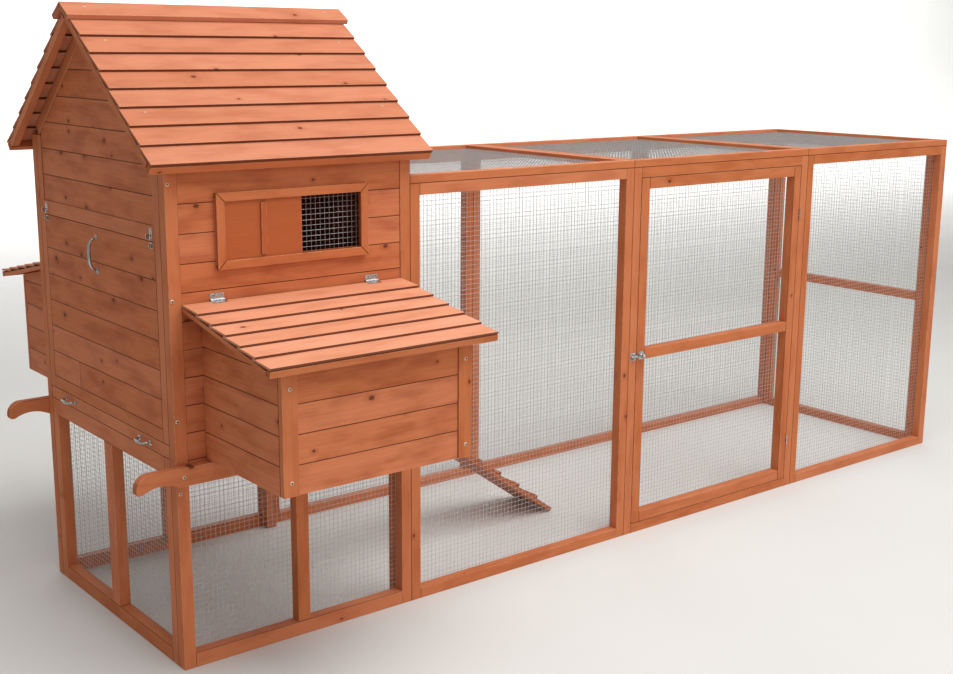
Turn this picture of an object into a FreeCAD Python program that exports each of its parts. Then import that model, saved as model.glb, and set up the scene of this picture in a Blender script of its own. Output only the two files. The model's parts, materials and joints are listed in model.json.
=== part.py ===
import FreeCAD, Part
import os
import re

# A chicken coop: a gabled house on mesh legs, a nest box on each long side, and a
# three-panel wire run with a door. Millimetres, +Z up, +X along the run.
# The origin is on the ground, under the middle of the whole coop.
# Places are worked out from the foot of the house's front left corner: x along the
# front, y from the front face to the back face, z up. stand() moves them to the origin.

SIZES = (
    ("depth", 760, "front face to back face of the frames"),
    ("house_length", 654, "house, along x"),
    ("bay_length", 783, "one run panel, along x"),
    ("run_height", 1120, "ground to the top of the run"),
    ("stick", 30, "width and thickness of the frame sticks"),
    ("roof_stick", 21, "thickness of the run's roof frames"),
    ("board", 12, "thickness of the wall boards"),
    ("recess", 2, "wall boards behind the frame's face"),
    ("fit", 1.5, "clearance round a piece that slides or swings"),
    ("leg_height", 507, "top of the mesh panels under the house"),
    ("foot_rail", 36, "height of the house's bottom rails"),
    ("leg_rail", 43, "height of the rails over the mesh panels"),
    ("leg_post", 44, "width of the gable's middle post"),
    ("front_leg_post", 34, "width of the front's middle post"),
    ("run_foot_rail", 28, "height of the run's bottom rails"),
    ("tray_gap", 34, "height of the slot that the tray slides in"),
    ("sill_rail", 31, "height of the rail over the tray"),
    ("head_rise", 496, "top of the legs to the rail over the access door"),
    ("head_rail", 35, "height of the rail over the access door"),
    ("access_gap", 1.5, "gap under the access door"),
    ("access_joint", 170, "butt joint in an access door board, from its end"),
    ("ridge_rise", 998.5, "top of the legs to the rafters' line at the ridge"),
    ("roof_slope", 38.5, "slope of the roof, degrees"),
    ("roof_overhang", 50.5, "roof past the wall, down the slope"),
    ("roof_left", 49, "roof past the left gable"),
    ("roof_right", 36, "roof past the right gable"),
    ("roof_board", 6, "thickness of the roof boards"),
    ("lap", 12, "overlap of one roof or lid board on the next"),
    ("cap_cover", 43, "slope that the ridge cap covers on each side"),
    ("cap_board", 13, "thickness of the ridge cap"),
    ("cap_overhang", 10, "ridge cap past the roof boards, at each end"),
    ("batten", 20, "width of the roof and lid battens"),
    ("roof_batten", 15, "depth of the roof battens"),
    ("window_rise", 450, "top of the legs to the bottom of the window"),
    ("window_height", 133, "height of the window"),
    ("window_left", 138, "left side of the window"),
    ("window_right", 502, "right side of the window"),
    ("window_post", 340, "left edge of the part of the window with mesh"),
    ("moulding", 20, "width of the window moulding"),
    ("moulding_lip", 6, "thickness of each layer of the moulding"),
    ("nest_inset", 76.5, "end of the house to the nest box, along x"),
    ("nest_reach", 346, "nest box, out from the wall"),
    ("nest_drop", 6, "nest box below the top of the legs"),
    ("nest_post", 38, "width of the nest box's corner posts"),
    ("nest_post_depth", 16, "thickness of the nest box's corner posts"),
    ("nest_door_rise", 64, "top of the legs to the way into a nest"),
    ("nest_door_height", 193, "height of the way into a nest"),
    ("nest_cheek", 27.5, "side of the nest box to the way into it"),
    ("lid_rise", 355, "top of the legs to the lid plane at the wall"),
    ("lid_slope", 11.6, "slope of the lid, degrees"),
    ("lid_length", 388, "wall to the lid's edge, down the slope"),
    ("lid_inset", 30, "end of the house to the lid, along x"),
    ("lid_board", 5.5, "thickness of the lid boards"),
    ("lid_batten", 10, "thickness of the battens under the lid"),
    ("handle_reach", 107, "carrying handle past the left gable"),
    ("handle_height", 44, "height of the carrying handle"),
    ("handle_hollow", 90, "radius of the hollow under the carrying handle's grip"),
    ("handle_board", 22, "thickness of the carrying handle"),
    ("handle_drop", 52, "carrying handle below the top of the legs"),
    ("tray_spare", 54, "house length less the tray's"),
    ("tray_wall", 1.5, "thickness of the tray's sheet"),
    ("tray_depth", 24, "height of the tray's sides"),
    ("tray_pull_spacing", 444, "between the tray's two pulls"),
    ("mesh", 0.5, "thickness of a mesh panel"),
    ("door_stick", 32, "width of the run door's sticks"),
    ("run_mid_rail", 535, "underside of the run's middle rails"),
    ("catch_inset", 15, "catch to the access door's side"),
    ("catch_width", 14, "width of the access door's catches"),
    ("catch_plate", 1.5, "thickness of a catch's plate"),
    ("catch_rise", 10, "catch's pivot over the door"),
    ("lid_hinge_offset", 209.5, "lid hinge to the middle of the lid"),
    ("run_hinge_top", 185, "upper run door hinge below the wall's top"),
    ("run_hinge_low", 935, "lower run door hinge below the wall's top"),
    ("access_pull_wire", 3.2, "radius of the access door's pull"),
    ("tray_pull_wire", 3, "radius of a tray pull"),
    ("pop_width", 200, "width of the pop hole"),
    ("pop_board", 8, "thickness of the pop hole's door"),
    ("ramp_slope", 35.3, "slope of the ramp, degrees"),
    ("ramp_width", 178, "ramp, along y"),
    ("ramp_board", 12, "thickness of the ramp"),
    ("pull_span", 84, "between the feet of the access door's pull"),
    ("pull_rise", 21, "access door's pull, out from its feet"),
    ("tray_pull_span", 62, "between the feet of a tray pull"),
    ("tray_pull_rise", 20, "tray pull, out from its feet"),
    ("hinge_width", 36, "length of a hinge"),
    ("pin_radius", 1.2, "hinge pins"),
    ("pin_clearance", 0.06, "hinge pin in its knuckle, on the radius"),
    ("hinge_leaf", 1.2, "thickness of a hinge leaf"),
    ("hinge_reach", 18, "hinge leaf, out from its pin"),
    ("hinge_standoff", 4, "pin of a lid hinge to the wall"),
    ("knuckle", 2.4, "outside radius of a hinge's knuckles"),
    ("run_door_gap", 3, "gap between the run door and its frame"),
    ("shutter_grip", 93, "left side of the window to the shutter's grip"),
    ("screw_head", 4.6, "radius of a screw head"),
)
ALIASES = {alias for alias, value, note in SIZES}

# Levels and lengths that follow other sizes, for use in formulas like the sheet's own.
DERIVED = {
    "head_level": "(leg_height + head_rise)",
    "ridge_level": "(leg_height + ridge_rise)",
    "roof_length": "(depth / 2 / cos(roof_slope) + roof_overhang)",
    "window_sill": "(leg_height + window_rise)",
    "nest_length": "(house_length - 2 * nest_inset)",
    "nest_base": "(leg_height - nest_drop)",
    "nest_door_sill": "(leg_height + nest_door_rise)",
    "nest_door_length": "(house_length - 2 * nest_inset - 2 * nest_cheek)",
    "lid_level": "(leg_height + lid_rise)",
    "lid_width": "(house_length - 2 * lid_inset)",
    "handle_level": "(leg_height - handle_drop)",
    "tray_length": "(house_length - tray_spare)",
}

BAYS = 3
ROOF_BOARDS = 8
LID_BOARDS = 6
LOW_ROWS = 7
ACCESS_ROWS = 6
ACCESS_ROW = 0.16
GABLE_ROWS = 7
GABLE_LAST_ROW = 0.45
NEST_ROWS = 4
NEST_LAST_ROW = 0.2
POP_ROWS = 4
RAMP_CLEATS = 9

doc = FreeCAD.newDocument("ChickenCoop")
sheet = doc.addObject("Spreadsheet::Sheet", "sheet")
for row, (alias, value, note) in enumerate(SIZES, 1):
    sheet.set("A%d" % row, note)
    sheet.set("B%d" % row, str(value))
    sheet.setAlias("B%d" % row, alias)
doc.recompute()

X_AXIS = FreeCAD.Vector(1, 0, 0)
Y_AXIS = FreeCAD.Vector(0, 1, 0)
Z_AXIS = FreeCAD.Vector(0, 0, 1)
DIAGONAL = FreeCAD.Vector(1, 1, 1)

# Lines that several pieces meet at, as formulas of the sheet's sizes.
LENGTH = f"(house_length + {BAYS} * bay_length)"
X_MIDDLE = f"(({LENGTH} - handle_reach) / 2)"
HOUSE_MIDDLE = "(house_length / 2)"
TRAY_TOP = "(leg_height + tray_gap)"
SILL_TOP = f"({TRAY_TOP} + sill_rail)"
DOOR_BOTTOM = f"({SILL_TOP} + access_gap)"
HEAD_TOP = "(head_level + head_rail)"
WINDOW_TOP = "(window_sill + window_height)"
POST_TOP = "(ridge_level - depth / 2 * tan(roof_slope) - 0.5)"
WALL_TOP = f"({POST_TOP} - stick)"
STILE_TOP = "(ridge_level - (depth / 2 - stick) * tan(roof_slope) - stick * cos(roof_slope) - 0.5)"
GABLE_PEAK = "(ridge_level - stick / cos(roof_slope))"
RUN_WALL = "(run_height - roof_stick)"
POP_FRONT = "(depth / 2 - pop_width / 2)"
POP_BACK = "(depth / 2 + pop_width / 2)"
POP_TOP = f"({SILL_TOP} + {POP_ROWS} * (head_level - {SILL_TOP}) / {LOW_ROWS})"
NEST_LEFT = f"({HOUSE_MIDDLE} - nest_length / 2)"
NEST_RIGHT = f"({HOUSE_MIDDLE} + nest_length / 2)"
NEST_FRONT_TOP = "(lid_level - nest_reach * tan(lid_slope) - lid_batten / cos(lid_slope) - 1)"
NEST_STEP = f"(({NEST_FRONT_TOP} - nest_base) / {NEST_ROWS + NEST_LAST_ROW})"
LID_LEFT = f"({HOUSE_MIDDLE} - lid_width / 2)"
DOOR_BAY = "(house_length + bay_length)"
RUN_DOOR_LEFT = f"({DOOR_BAY} + stick + run_door_gap)"
RUN_DOOR_RIGHT = f"({DOOR_BAY} + bay_length - stick - run_door_gap)"
RUN_HINGE_X = f"({DOOR_BAY} + bay_length - stick - run_door_gap / 2)"
HINGE_STEP_OUT = "(knuckle + 0.2)"
RAMP_AXIS_X = "(house_length + hinge_standoff)"
RAMP_AXIS_Z = f"({SILL_TOP} - 26)"

# A slope is the y and z of its top edge and its angle; pieces lie down it, towards -y.
ROOF = ("depth / 2", "ridge_level", "roof_slope")
LID = ("-1.5", "lid_level", "lid_slope")

nodes = []


def formula(text):
    """Write out derived sizes, then point each size's name at its cell of the sheet."""
    text = re.sub(r"[a-z]\w*", lambda word: DERIVED.get(word[0], word[0]), str(text))
    return re.sub(r"[a-z]\w*", lambda word: "sheet." + word[0] if word[0] in ALIASES else word[0], text)


def bind(thing, **texts):
    for name, text in texts.items():
        thing.setExpression(name, formula(text))
    return thing


def put(thing, x, y, z):
    """Put a thing at a point of the place it belongs to."""
    for letter, text in zip("xyz", (x, y, z)):
        thing.setExpression("Placement.Base." + letter, formula(text))
    return thing


def stand(thing, x, y, z):
    """Put a thing at a point measured from the foot of the house's front left corner."""
    return put(thing, f"({x}) - {X_MIDDLE}", f"({y}) - depth / 2", z)


def turn(thing, axis, angle):
    thing.Placement = FreeCAD.Placement(FreeCAD.Vector(), FreeCAD.Rotation(axis, 1))
    thing.setExpression("Placement.Rotation.Angle", formula(angle))
    return thing


def block(length, width, height):
    return bind(doc.addObject("Part::Box", "block"), Length=length, Width=width, Height=height)


def rod(radius, length, axis=Z_AXIS):
    """A round bar from the origin along an axis."""
    thing = bind(doc.addObject("Part::Cylinder", "rod"), Radius=radius, Height=length)
    if axis is X_AXIS:
        turn(thing, Y_AXIS, "90")
    if axis is Y_AXIS:
        turn(thing, X_AXIS, "-90")
    return thing


def stick(x, y, z, length, width, height):
    """A straight piece whose lowest corner is at x, y, z."""
    return stand(block(length, width, height), x, y, z)


def between(left, right, front, back, bottom, top):
    """A straight piece that fills the space between six faces."""
    length, width, height = f"({right}) - ({left})", f"({back}) - ({front})", f"({top}) - ({bottom})"
    return stick(left, front, bottom, length, width, height)


def cut(base, tool):
    thing = doc.addObject("Part::Cut", "cut")
    thing.Base = base
    thing.Tool = tool
    return thing


def fuse(*pieces):
    thing = doc.addObject("Part::MultiFuse", "fuse")
    thing.Shapes = list(pieces)
    return thing


def group(*pieces):
    thing = doc.addObject("Part::Compound", "group")
    thing.Links = list(pieces)
    return thing


def mirrored(source):
    """The same thing on the other side of the coop, front for back."""
    thing = doc.addObject("Part::Mirroring", "mirrored")
    thing.Source = source
    thing.Normal = Y_AXIS
    return thing


def node(label, *pieces):
    """Name a sub-part. Its solids stay separate pieces."""
    thing = group(*pieces)
    thing.Label = label
    nodes.append(thing)
    return thing


def both(front_label, back_label, *pieces):
    """Name a sub-part and its twin on the back of the coop."""
    front = node(front_label, *pieces)
    node(back_label, mirrored(front))


def down_slope(slope, x, along, lift, length, width, height, lean="0"):
    """A straight piece on a slope. Its lower edge is `along` from the top edge and `lift`
    off the plane, and it leans back to the plane by an angle whose sine is `lean`."""
    y, z, angle = slope
    thing = turn(block(length, width, height), X_AXIS, f"{angle} * 1deg - asin({lean})")
    reach = f"(({along}) * cos({angle}) + ({lift}) * sin({angle}))"
    drop = f"(({along}) * sin({angle}) - ({lift}) * cos({angle}))"
    return stand(thing, x, f"({y}) - {reach}", f"({z}) - {drop}")


def lap_of(total, cover, thickness, count):
    """Lapped boards: their pitch down the slope, the sine of their lean, and how far
    their lower edge lifts off the plane."""
    pitch = f"(({total} - {cover}) / {count})"
    lean = f"(({thickness} + 0.3) / {pitch})"
    return pitch, lean, f"(({pitch} + lap) * {lean} + 0.2)"


def lapped(slope, x, length, total, cover, thickness, count):
    """Boards that overlap like shingles, from the lowest edge up."""
    pitch, lean, lift = lap_of(total, cover, thickness, count)
    width = f"({pitch} + lap)"
    boards = []
    for place in range(count):
        along = f"({total} - {place} * {pitch})"
        boards.append(down_slope(slope, x, along, lift, length, width, thickness, lean))
    return boards


def rectangle_frame(left, right, bottom, top, foot, head, side="stick", face="0", back="stick"):
    """Two stiles and the rails between them, in a wall that faces the front."""
    return [
        between(left, f"{left} + {side}", face, back, bottom, top),
        between(f"{right} - {side}", right, face, back, bottom, top),
        between(f"{left} + {side}", f"{right} - {side}", face, back, bottom, f"{bottom} + {foot}"),
        between(f"{left} + {side}", f"{right} - {side}", face, back, f"{top} - {head}", top),
    ]


def front_mesh(left, right, bottom, top):
    """A mesh panel in a wall that faces the front, near the frame's inner face."""
    return between(left, right, "stick - mesh - 2", "stick - 2", bottom, top)


def end_mesh(x, front, back, bottom, top):
    return between(x, f"{x} + mesh", front, back, bottom, top)


# House frames ---------------------------------------------------------------------

def long_frame():
    """Posts, rails and middle post of a long side of the house."""
    inner = "house_length - stick"
    post = f"({HOUSE_MIDDLE} - front_leg_post / 2)"
    return [
        between("0", "stick", "0", "stick", "0", POST_TOP),
        between(inner, "house_length", "0", "stick", "0", POST_TOP),
        between("stick", inner, "0", "stick", "0", "foot_rail"),
        between("stick", inner, "0", "stick", "leg_height - leg_rail", "leg_height"),
        between(post, f"{post} + front_leg_post", "0", "stick", "foot_rail", "leg_height - leg_rail"),
        between("stick", inner, "0", "stick", WALL_TOP, POST_TOP),
    ]


def rafters(x):
    """A pair of rafters that meet under the ridge."""
    low = "((depth / 2 - stick) / cos(roof_slope) - 0.5)"
    high = "(stick * tan(roof_slope) + 0.2)"
    front = down_slope(ROOF, x, low, "-stick", "stick", f"{low} - {high}", "stick - 0.3")
    return [front, mirrored(front)]


def gable_frame(x, bottom):
    """Stiles, the rail over the tray, the rail over the door, and the rafters."""
    end = f"{x} + stick"
    inner = "depth - stick * 2"
    return [
        between(x, end, "stick", "stick * 2", bottom, STILE_TOP),
        between(x, end, inner, "depth - stick", bottom, STILE_TOP),
        between(x, end, "stick * 2", inner, TRAY_TOP, SILL_TOP),
        between(x, end, "stick * 2", inner, "head_level", HEAD_TOP),
    ] + rafters(x)


def left_leg_frame():
    """The mesh panel's frame under the left gable."""
    inner = "depth - stick * 2"
    post = "(depth / 2 - leg_post / 2)"
    rail = "leg_height - leg_rail"
    return [
        between("0", "stick", "stick", "stick * 2", "0", "leg_height"),
        between("0", "stick", inner, "depth - stick", "0", "leg_height"),
        between("0", "stick", "stick * 2", inner, "0", "foot_rail"),
        between("0", "stick", "stick * 2", inner, rail, "leg_height"),
        between("0", "stick", post, f"{post} + leg_post", "foot_rail", rail),
    ]


def house_frames():
    right = "house_length - stick"
    rail = between(right, "house_length", "stick * 2", "depth - stick * 2",
                   "leg_height - leg_rail", "leg_height")
    both("house_front_frame", "house_back_frame", *long_frame())
    node("house_left_frame", *left_leg_frame(), *gable_frame("0", TRAY_TOP))
    node("house_right_frame", rail, *gable_frame(right, "0"))


# Wall boards ----------------------------------------------------------------------

def wall_row(left, right, bottom, top):
    return between(left, right, "recess", "recess + board", bottom, top)


def rows(bottom, top, count):
    """The lower and upper edge of each of some equal rows."""
    step = f"(({top}) - ({bottom})) / {count}"
    return [(f"({bottom} + {place} * {step})", f"({bottom} + {place + 1} * {step})")
            for place in range(count)]


def wall_boards(window):
    """Boards of a long wall, with the way into the nest and, in front, the window."""
    right = "(house_length - stick)"
    nest_left = f"({HOUSE_MIDDLE} - nest_door_length / 2)"
    nest_right = f"({HOUSE_MIDDLE} + nest_door_length / 2)"
    nest_top = "(nest_door_sill + nest_door_height)"
    boards = [wall_row("stick", right, "leg_height", "nest_door_sill")]
    for bottom, top in rows("nest_door_sill", nest_top, 3):
        boards.append(wall_row("stick", nest_left, bottom, top))
        boards.append(wall_row(nest_right, right, bottom, top))
    for bottom, top in rows(nest_top, "window_sill", 3):
        boards.append(wall_row("stick", right, bottom, top))
    for bottom, top in rows("window_sill", WINDOW_TOP, 2):
        if window:
            boards.append(wall_row("stick", "window_post - 8", bottom, top))
            boards.append(wall_row("window_right + 8", right, bottom, top))
        else:
            boards.append(wall_row("stick", right, bottom, top))
    boards.append(wall_row("stick", right, WINDOW_TOP, WALL_TOP))
    return boards


def gable_boards(x, over_rafters):
    """Boards from the rail over the door up into the peak."""
    pitch = f"(({GABLE_PEAK} - {HEAD_TOP}) / {GABLE_ROWS - 1 + GABLE_LAST_ROW})"
    boards = []
    for place in range(GABLE_ROWS):
        bottom = f"({HEAD_TOP} + {place} * {pitch})"
        top = GABLE_PEAK if place == GABLE_ROWS - 1 else f"({HEAD_TOP} + {place + 1} * {pitch})"
        row = between(x, f"{x} + board", "stick * 2", "depth - stick * 2", bottom, top)
        boards.append(cut(row, over_rafters))
    return boards


def pop_wall_boards(x):
    """Boards of the wall between the house and the run, round the pop hole."""
    inner = "(depth - stick * 2)"
    boards = []
    for place, (bottom, top) in enumerate(rows(SILL_TOP, "head_level", LOW_ROWS)):
        if place < POP_ROWS:
            boards.append(between(x, f"{x} + board", "stick * 2", POP_FRONT, bottom, top))
            boards.append(between(x, f"{x} + board", POP_BACK, inner, bottom, top))
        else:
            boards.append(between(x, f"{x} + board", "stick * 2", inner, bottom, top))
    return boards


def all_wall_boards():
    reach = "(2 * roof_length)"
    span = "house_length + 2 * stick"
    space = down_slope(ROOF, "-stick", "roof_length", "-stick", span, reach, "depth")
    over_rafters = fuse(space, mirrored(space))
    right = "(house_length - recess - board)"
    node("front_wall_boards", *wall_boards(window=True))
    node("back_wall_boards", mirrored(group(*wall_boards(window=False))))
    node("left_gable_boards", *gable_boards("recess", over_rafters))
    node("right_wall_boards", *pop_wall_boards(right), *gable_boards(right, over_rafters))


# Roof -----------------------------------------------------------------------------

def roof():
    left = "-roof_left"
    right = "(house_length + roof_right)"
    span = "house_length + roof_left + roof_right"
    both("roof_front_boards", "roof_back_boards",
         *lapped(ROOF, left, span, "roof_length", "cap_cover", "roof_board", ROOF_BOARDS))
    cap_left = f"({left} - cap_overhang)"
    cap_span = f"{span} + 2 * cap_overhang"
    lean, lift = lap_of("roof_length", "cap_cover", "roof_board", ROOF_BOARDS)[1:]
    slab = down_slope(ROOF, cap_left, "cap_cover", lift, cap_span, "2 * cap_cover", "cap_board", lean)
    past_ridge = stick(cap_left, "depth / 2", "ridge_level - depth", cap_span, "depth", "2 * depth")
    cap = cut(slab, past_ridge)
    node("roof_ridge_cap", cap, mirrored(cap))
    low = "(roof_length - batten)"
    high = "(roof_batten * tan(roof_slope) + 0.2)"
    verges = [
        down_slope(ROOF, left, low, "-roof_batten", "batten", f"{low} - {high}", "roof_batten"),
        down_slope(ROOF, f"{right} - batten", low, "-roof_batten", "batten", f"{low} - {high}",
                   "roof_batten"),
        down_slope(ROOF, left, "roof_length", "-roof_batten", span, "batten * 0.7",
                   "roof_batten + roof_board - 1"),
    ]
    node("roof_battens", *verges, *[mirrored(piece) for piece in verges])


# Window ---------------------------------------------------------------------------

def mitred(length, axis, angle, x, y, z):
    """One side of the moulding's outer layer: its inner edge is shorter at both ends."""
    piece = doc.addObject("Part::Wedge", "mitred")
    bind(piece, Xmin="0", Ymin="0", Zmin="0", X2min="moulding", Z2min="0", Xmax=length, Ymax="moulding",
         Zmax="moulding_lip", X2max=f"{length} - moulding", Z2max="moulding_lip")
    return stand(turn(piece, axis, angle), x, y, z)


def window():
    """Moulding in two layers, so that the shutter runs behind its lip."""
    left = "(window_left - moulding)"
    right = "(window_right + moulding)"
    bottom = "(window_sill - moulding)"
    top = f"({WINDOW_TOP} + moulding)"
    front = "(recess - 2 * moulding_lip - fit)"
    middle = "(recess - moulding_lip - fit)"
    wide = f"({right} - {left})"
    tall = f"({top} - {bottom})"
    rebate = "(moulding / 2)"
    node(
        "window_moulding",
        mitred(wide, X_AXIS, "90", left, middle, bottom),
        mitred(wide, X_AXIS, "-90", left, front, top),
        mitred(tall, DIAGONAL, "240", left, front, bottom),
        mitred(tall, FreeCAD.Vector(1, -1, 1), "120", right, middle, bottom),
        between(left, right, middle, "recess", bottom, f"window_sill - {rebate}"),
        between(left, right, middle, "recess", f"{WINDOW_TOP} + {rebate}", top),
        between(left, f"window_left - {rebate}", middle, "recess", f"window_sill - {rebate}",
                f"{WINDOW_TOP} + {rebate}"),
        between(f"window_right + {rebate}", right, middle, "recess", f"window_sill - {rebate}",
                f"{WINDOW_TOP} + {rebate}"),
    )


def window_shutter():
    front = "(recess - moulding_lip - fit / 2)"
    rebate = "(moulding / 2 - fit)"
    grip = "(window_left + shutter_grip)"
    panel = between(f"window_left - {rebate}", "window_post", front, "recess - fit / 2",
                    f"window_sill - {rebate}", f"{WINDOW_TOP} + {rebate}")
    batten = between(grip, f"{grip} + 14", f"{front} - 5", front, "window_sill + 7", f"{WINDOW_TOP} - 7")
    node("window_shutter", panel, batten)
    back = "(recess + board)"
    node("window_mesh", between("window_post - 18", "window_right + 18", back, f"{back} + mesh",
                                "window_sill - 8", f"{WINDOW_TOP} + 8"))


# Nest boxes -----------------------------------------------------------------------

def nest_frame():
    front = "-nest_reach"
    back = "(nest_post_depth - nest_reach)"
    return [
        between(NEST_LEFT, f"{NEST_LEFT} + nest_post", front, back, "nest_base", NEST_FRONT_TOP),
        between(f"{NEST_RIGHT} - nest_post", NEST_RIGHT, front, back, "nest_base", NEST_FRONT_TOP),
    ]


def nest_boards(under_lid):
    """Front and side boards in four rows, and a last row that follows the lid."""
    left = f"({NEST_LEFT} + nest_post)"
    right = f"({NEST_RIGHT} - nest_post)"
    inside = "(nest_post_depth - nest_reach)"
    last = f"(nest_base + {NEST_ROWS} * {NEST_STEP})"
    boards = []
    for place, (bottom, top) in enumerate(rows("nest_base", last, NEST_ROWS)):
        wall = "0" if place == 0 else "recess"
        boards.append(between(left, right, f"{inside} - board", inside, bottom, top))
        boards.append(between(NEST_LEFT, f"{NEST_LEFT} + board", inside, wall, bottom, top))
        boards.append(between(f"{NEST_RIGHT} - board", NEST_RIGHT, inside, wall, bottom, top))
    boards.append(between(left, right, f"{inside} - board", inside, last, NEST_FRONT_TOP))
    for side in (NEST_LEFT, f"{NEST_RIGHT} - board"):
        tall = between(side, f"{side} + board", inside, "recess", last, "lid_level + lid_board")
        boards.append(cut(tall, under_lid))
    return boards


def nest_inside():
    """The floor and the divider between the two nests."""
    inside = "(nest_post_depth - nest_reach)"
    left = f"({NEST_LEFT} + board)"
    right = f"({NEST_RIGHT} - board)"
    floor_top = "(nest_base + 16)"
    floor = between(left, right, inside, "recess", "nest_base + 6", floor_top)
    divider = between(f"{HOUSE_MIDDLE} - board / 2", f"{HOUSE_MIDDLE} + board / 2", inside, "recess",
                      floor_top, "nest_door_sill + 0.8 * nest_door_height")
    return [floor, divider]


def nests():
    span = "nest_length + 2 * stick"
    over_lid = down_slope(LID, f"{NEST_LEFT} - stick", "2 * lid_length", "-lid_batten - 1", span,
                          "3 * lid_length", "nest_reach")
    both("nest_front_frame", "nest_back_frame", *nest_frame())
    both("nest_front_boards", "nest_back_boards", *nest_boards(over_lid))
    both("nest_front_inside", "nest_back_inside", *nest_inside())


def lids():
    """Lapped boards on two side battens, a back batten and a strip along the edge."""
    strip = "(0.7 * batten)"
    low = f"(lid_length - {strip})"
    inner = f"({LID_LEFT} + batten)"
    both("lid_front_boards", "lid_back_boards",
         *lapped(LID, LID_LEFT, "lid_width", "lid_length", "lap", "lid_board", LID_BOARDS))
    both(
        "lid_front_battens", "lid_back_battens",
        down_slope(LID, LID_LEFT, low, "-lid_batten", "batten", f"{low} - 1", "lid_batten"),
        down_slope(LID, f"{LID_LEFT} + lid_width - batten", low, "-lid_batten",
                   "batten", f"{low} - 1", "lid_batten"),
        down_slope(LID, inner, "batten + 1", "-lid_batten", "lid_width - 2 * batten", "batten", "lid_batten"),
        down_slope(LID, LID_LEFT, "lid_length", "-lid_batten", "lid_width", strip,
                   "lid_batten + lid_board - 0.5"),
    )


# Hinges ---------------------------------------------------------------------------

def knuckles():
    """The parts of a hinge that do not depend on how its leaves lie: the middle
    knuckle with its bore, and the pin with an outer knuckle at each end. Along X."""
    third = "(hinge_width / 3)"
    barrel = put(rod("knuckle", f"{third} - 0.6", X_AXIS), f"0.3 - {third} / 2", "0", "0")
    bore = put(rod("pin_radius + pin_clearance", "hinge_width", X_AXIS), "-hinge_width / 2", "0", "0")
    pin = put(rod("pin_radius", "hinge_width", X_AXIS), "-hinge_width / 2", "0", "0")
    left = put(rod("knuckle", third, X_AXIS), "-hinge_width / 2", "0", "0")
    right = put(rod("knuckle", third, X_AXIS), f"{third} / 2", "0", "0")
    return barrel, bore, (pin, left, right)


def leaf(front, back, bottom, top, width, notch):
    """A leaf with the space for the other half's knuckles cut out of it."""
    plate = put(block(width, f"({back}) - ({front})", f"({top}) - ({bottom})"),
                f"-({width}) / 2", front, bottom)
    if not notch:
        return plate
    gap = put(block("hinge_width / 3 + 0.4", "2 * knuckle + 1", "4 * knuckle"), "-hinge_width / 6 - 0.2",
              "-knuckle - 0.5", "-2 * knuckle")
    return cut(plate, gap)


def placed(source, x, y, z, axis=X_AXIS, angle="0"):
    """A copy of a thing made at the origin, turned and stood in its place."""
    return stand(turn(group(source), axis, angle), x, y, z)


def edge_hinge():
    """A hinge whose two leaves lie flat in the gap between two edges: pin along X,
    leaves towards +Y, the moving leaf on top."""
    barrel, bore, moving = knuckles()
    low = "-run_door_gap / 2"
    high = "(run_door_gap / 2 - hinge_leaf)"
    third = "hinge_width / 3 - 0.6"
    tail = put(block(third, "hinge_reach", "hinge_leaf"), f"-({third}) / 2", "0", low)
    plate = put(block("hinge_width", "hinge_reach - knuckle - 1", "hinge_leaf"), "-hinge_width / 2",
                "knuckle + 1", low)
    fixed = cut(fuse(barrel, tail, plate), bore)
    return fixed, fuse(*moving, leaf("0", "hinge_reach", high, "run_door_gap / 2", "hinge_width", True))


def surface_hinge(slope, lean):
    """A hinge on the faces of two pieces: pin along X, the fixed leaf up the wall
    behind it, the moving leaf down a slope in front of it."""
    barrel, bore, moving = knuckles()
    third = "hinge_width / 3 - 0.6"
    arm = put(block(third, "hinge_standoff", "hinge_leaf"), f"-({third}) / 2", "0", "0.5")
    plate = put(block("hinge_width", "hinge_leaf", "hinge_reach - 4"), "-hinge_width / 2",
                "hinge_standoff - hinge_leaf", "0.5")
    fixed = cut(fuse(barrel, arm, plate), bore)
    top = leaf("-hinge_reach", "0", "-knuckle", "hinge_leaf - knuckle", "hinge_width", True)
    sloped = turn(group(top), X_AXIS, f"{slope} * 1deg - asin({lean})")
    return fixed, fuse(*moving, sloped)


def hinges():
    """Fixed halves go on the coop, moving halves on the lid, door or ramp."""
    edge_fixed, edge_moving = edge_hinge()
    lean = lap_of("lid_length", "lap", "lid_board", LID_BOARDS)[1]
    lid_fixed, lid_moving = surface_hinge("lid_slope", lean)
    ramp_fixed, ramp_moving = surface_hinge("ramp_slope", "0")
    lid_z = "(lid_level + lid_board + knuckle + 0.3)"
    lid_x = [f"({HOUSE_MIDDLE} {sign} lid_hinge_offset)" for sign in "-+"]
    lid_y = "(recess - hinge_standoff)"
    wall = [placed(lid_fixed, x, lid_y, lid_z) for x in lid_x]
    wall += [mirrored(half) for half in wall]
    run_z = [f"({RUN_WALL} - run_hinge_top)", f"({RUN_WALL} - run_hinge_low)"]
    stile = [placed(edge_fixed, RUN_HINGE_X, f"-{HINGE_STEP_OUT}", z, Y_AXIS, "-90") for z in run_z]
    ramp_at = [f"(depth / 2 {sign} ramp_width / 3)" for sign in "-+"]
    foot = [placed(ramp_fixed, RAMP_AXIS_X, y, RAMP_AXIS_Z, Z_AXIS, "90") for y in ramp_at]
    node("fixed_hinge_halves", *wall, *stile, *foot)
    both("lid_front_hinges", "lid_back_hinges", *[placed(lid_moving, x, lid_y, lid_z) for x in lid_x])
    run_halves = [placed(edge_moving, RUN_HINGE_X, f"-{HINGE_STEP_OUT}", z, Y_AXIS, "-90") for z in run_z]
    node("ramp_hinges", *[placed(ramp_moving, RAMP_AXIS_X, y, RAMP_AXIS_Z, Z_AXIS, "90") for y in ramp_at])
    return run_halves


# Pulls, catches and latch -----------------------------------------------------------

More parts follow.
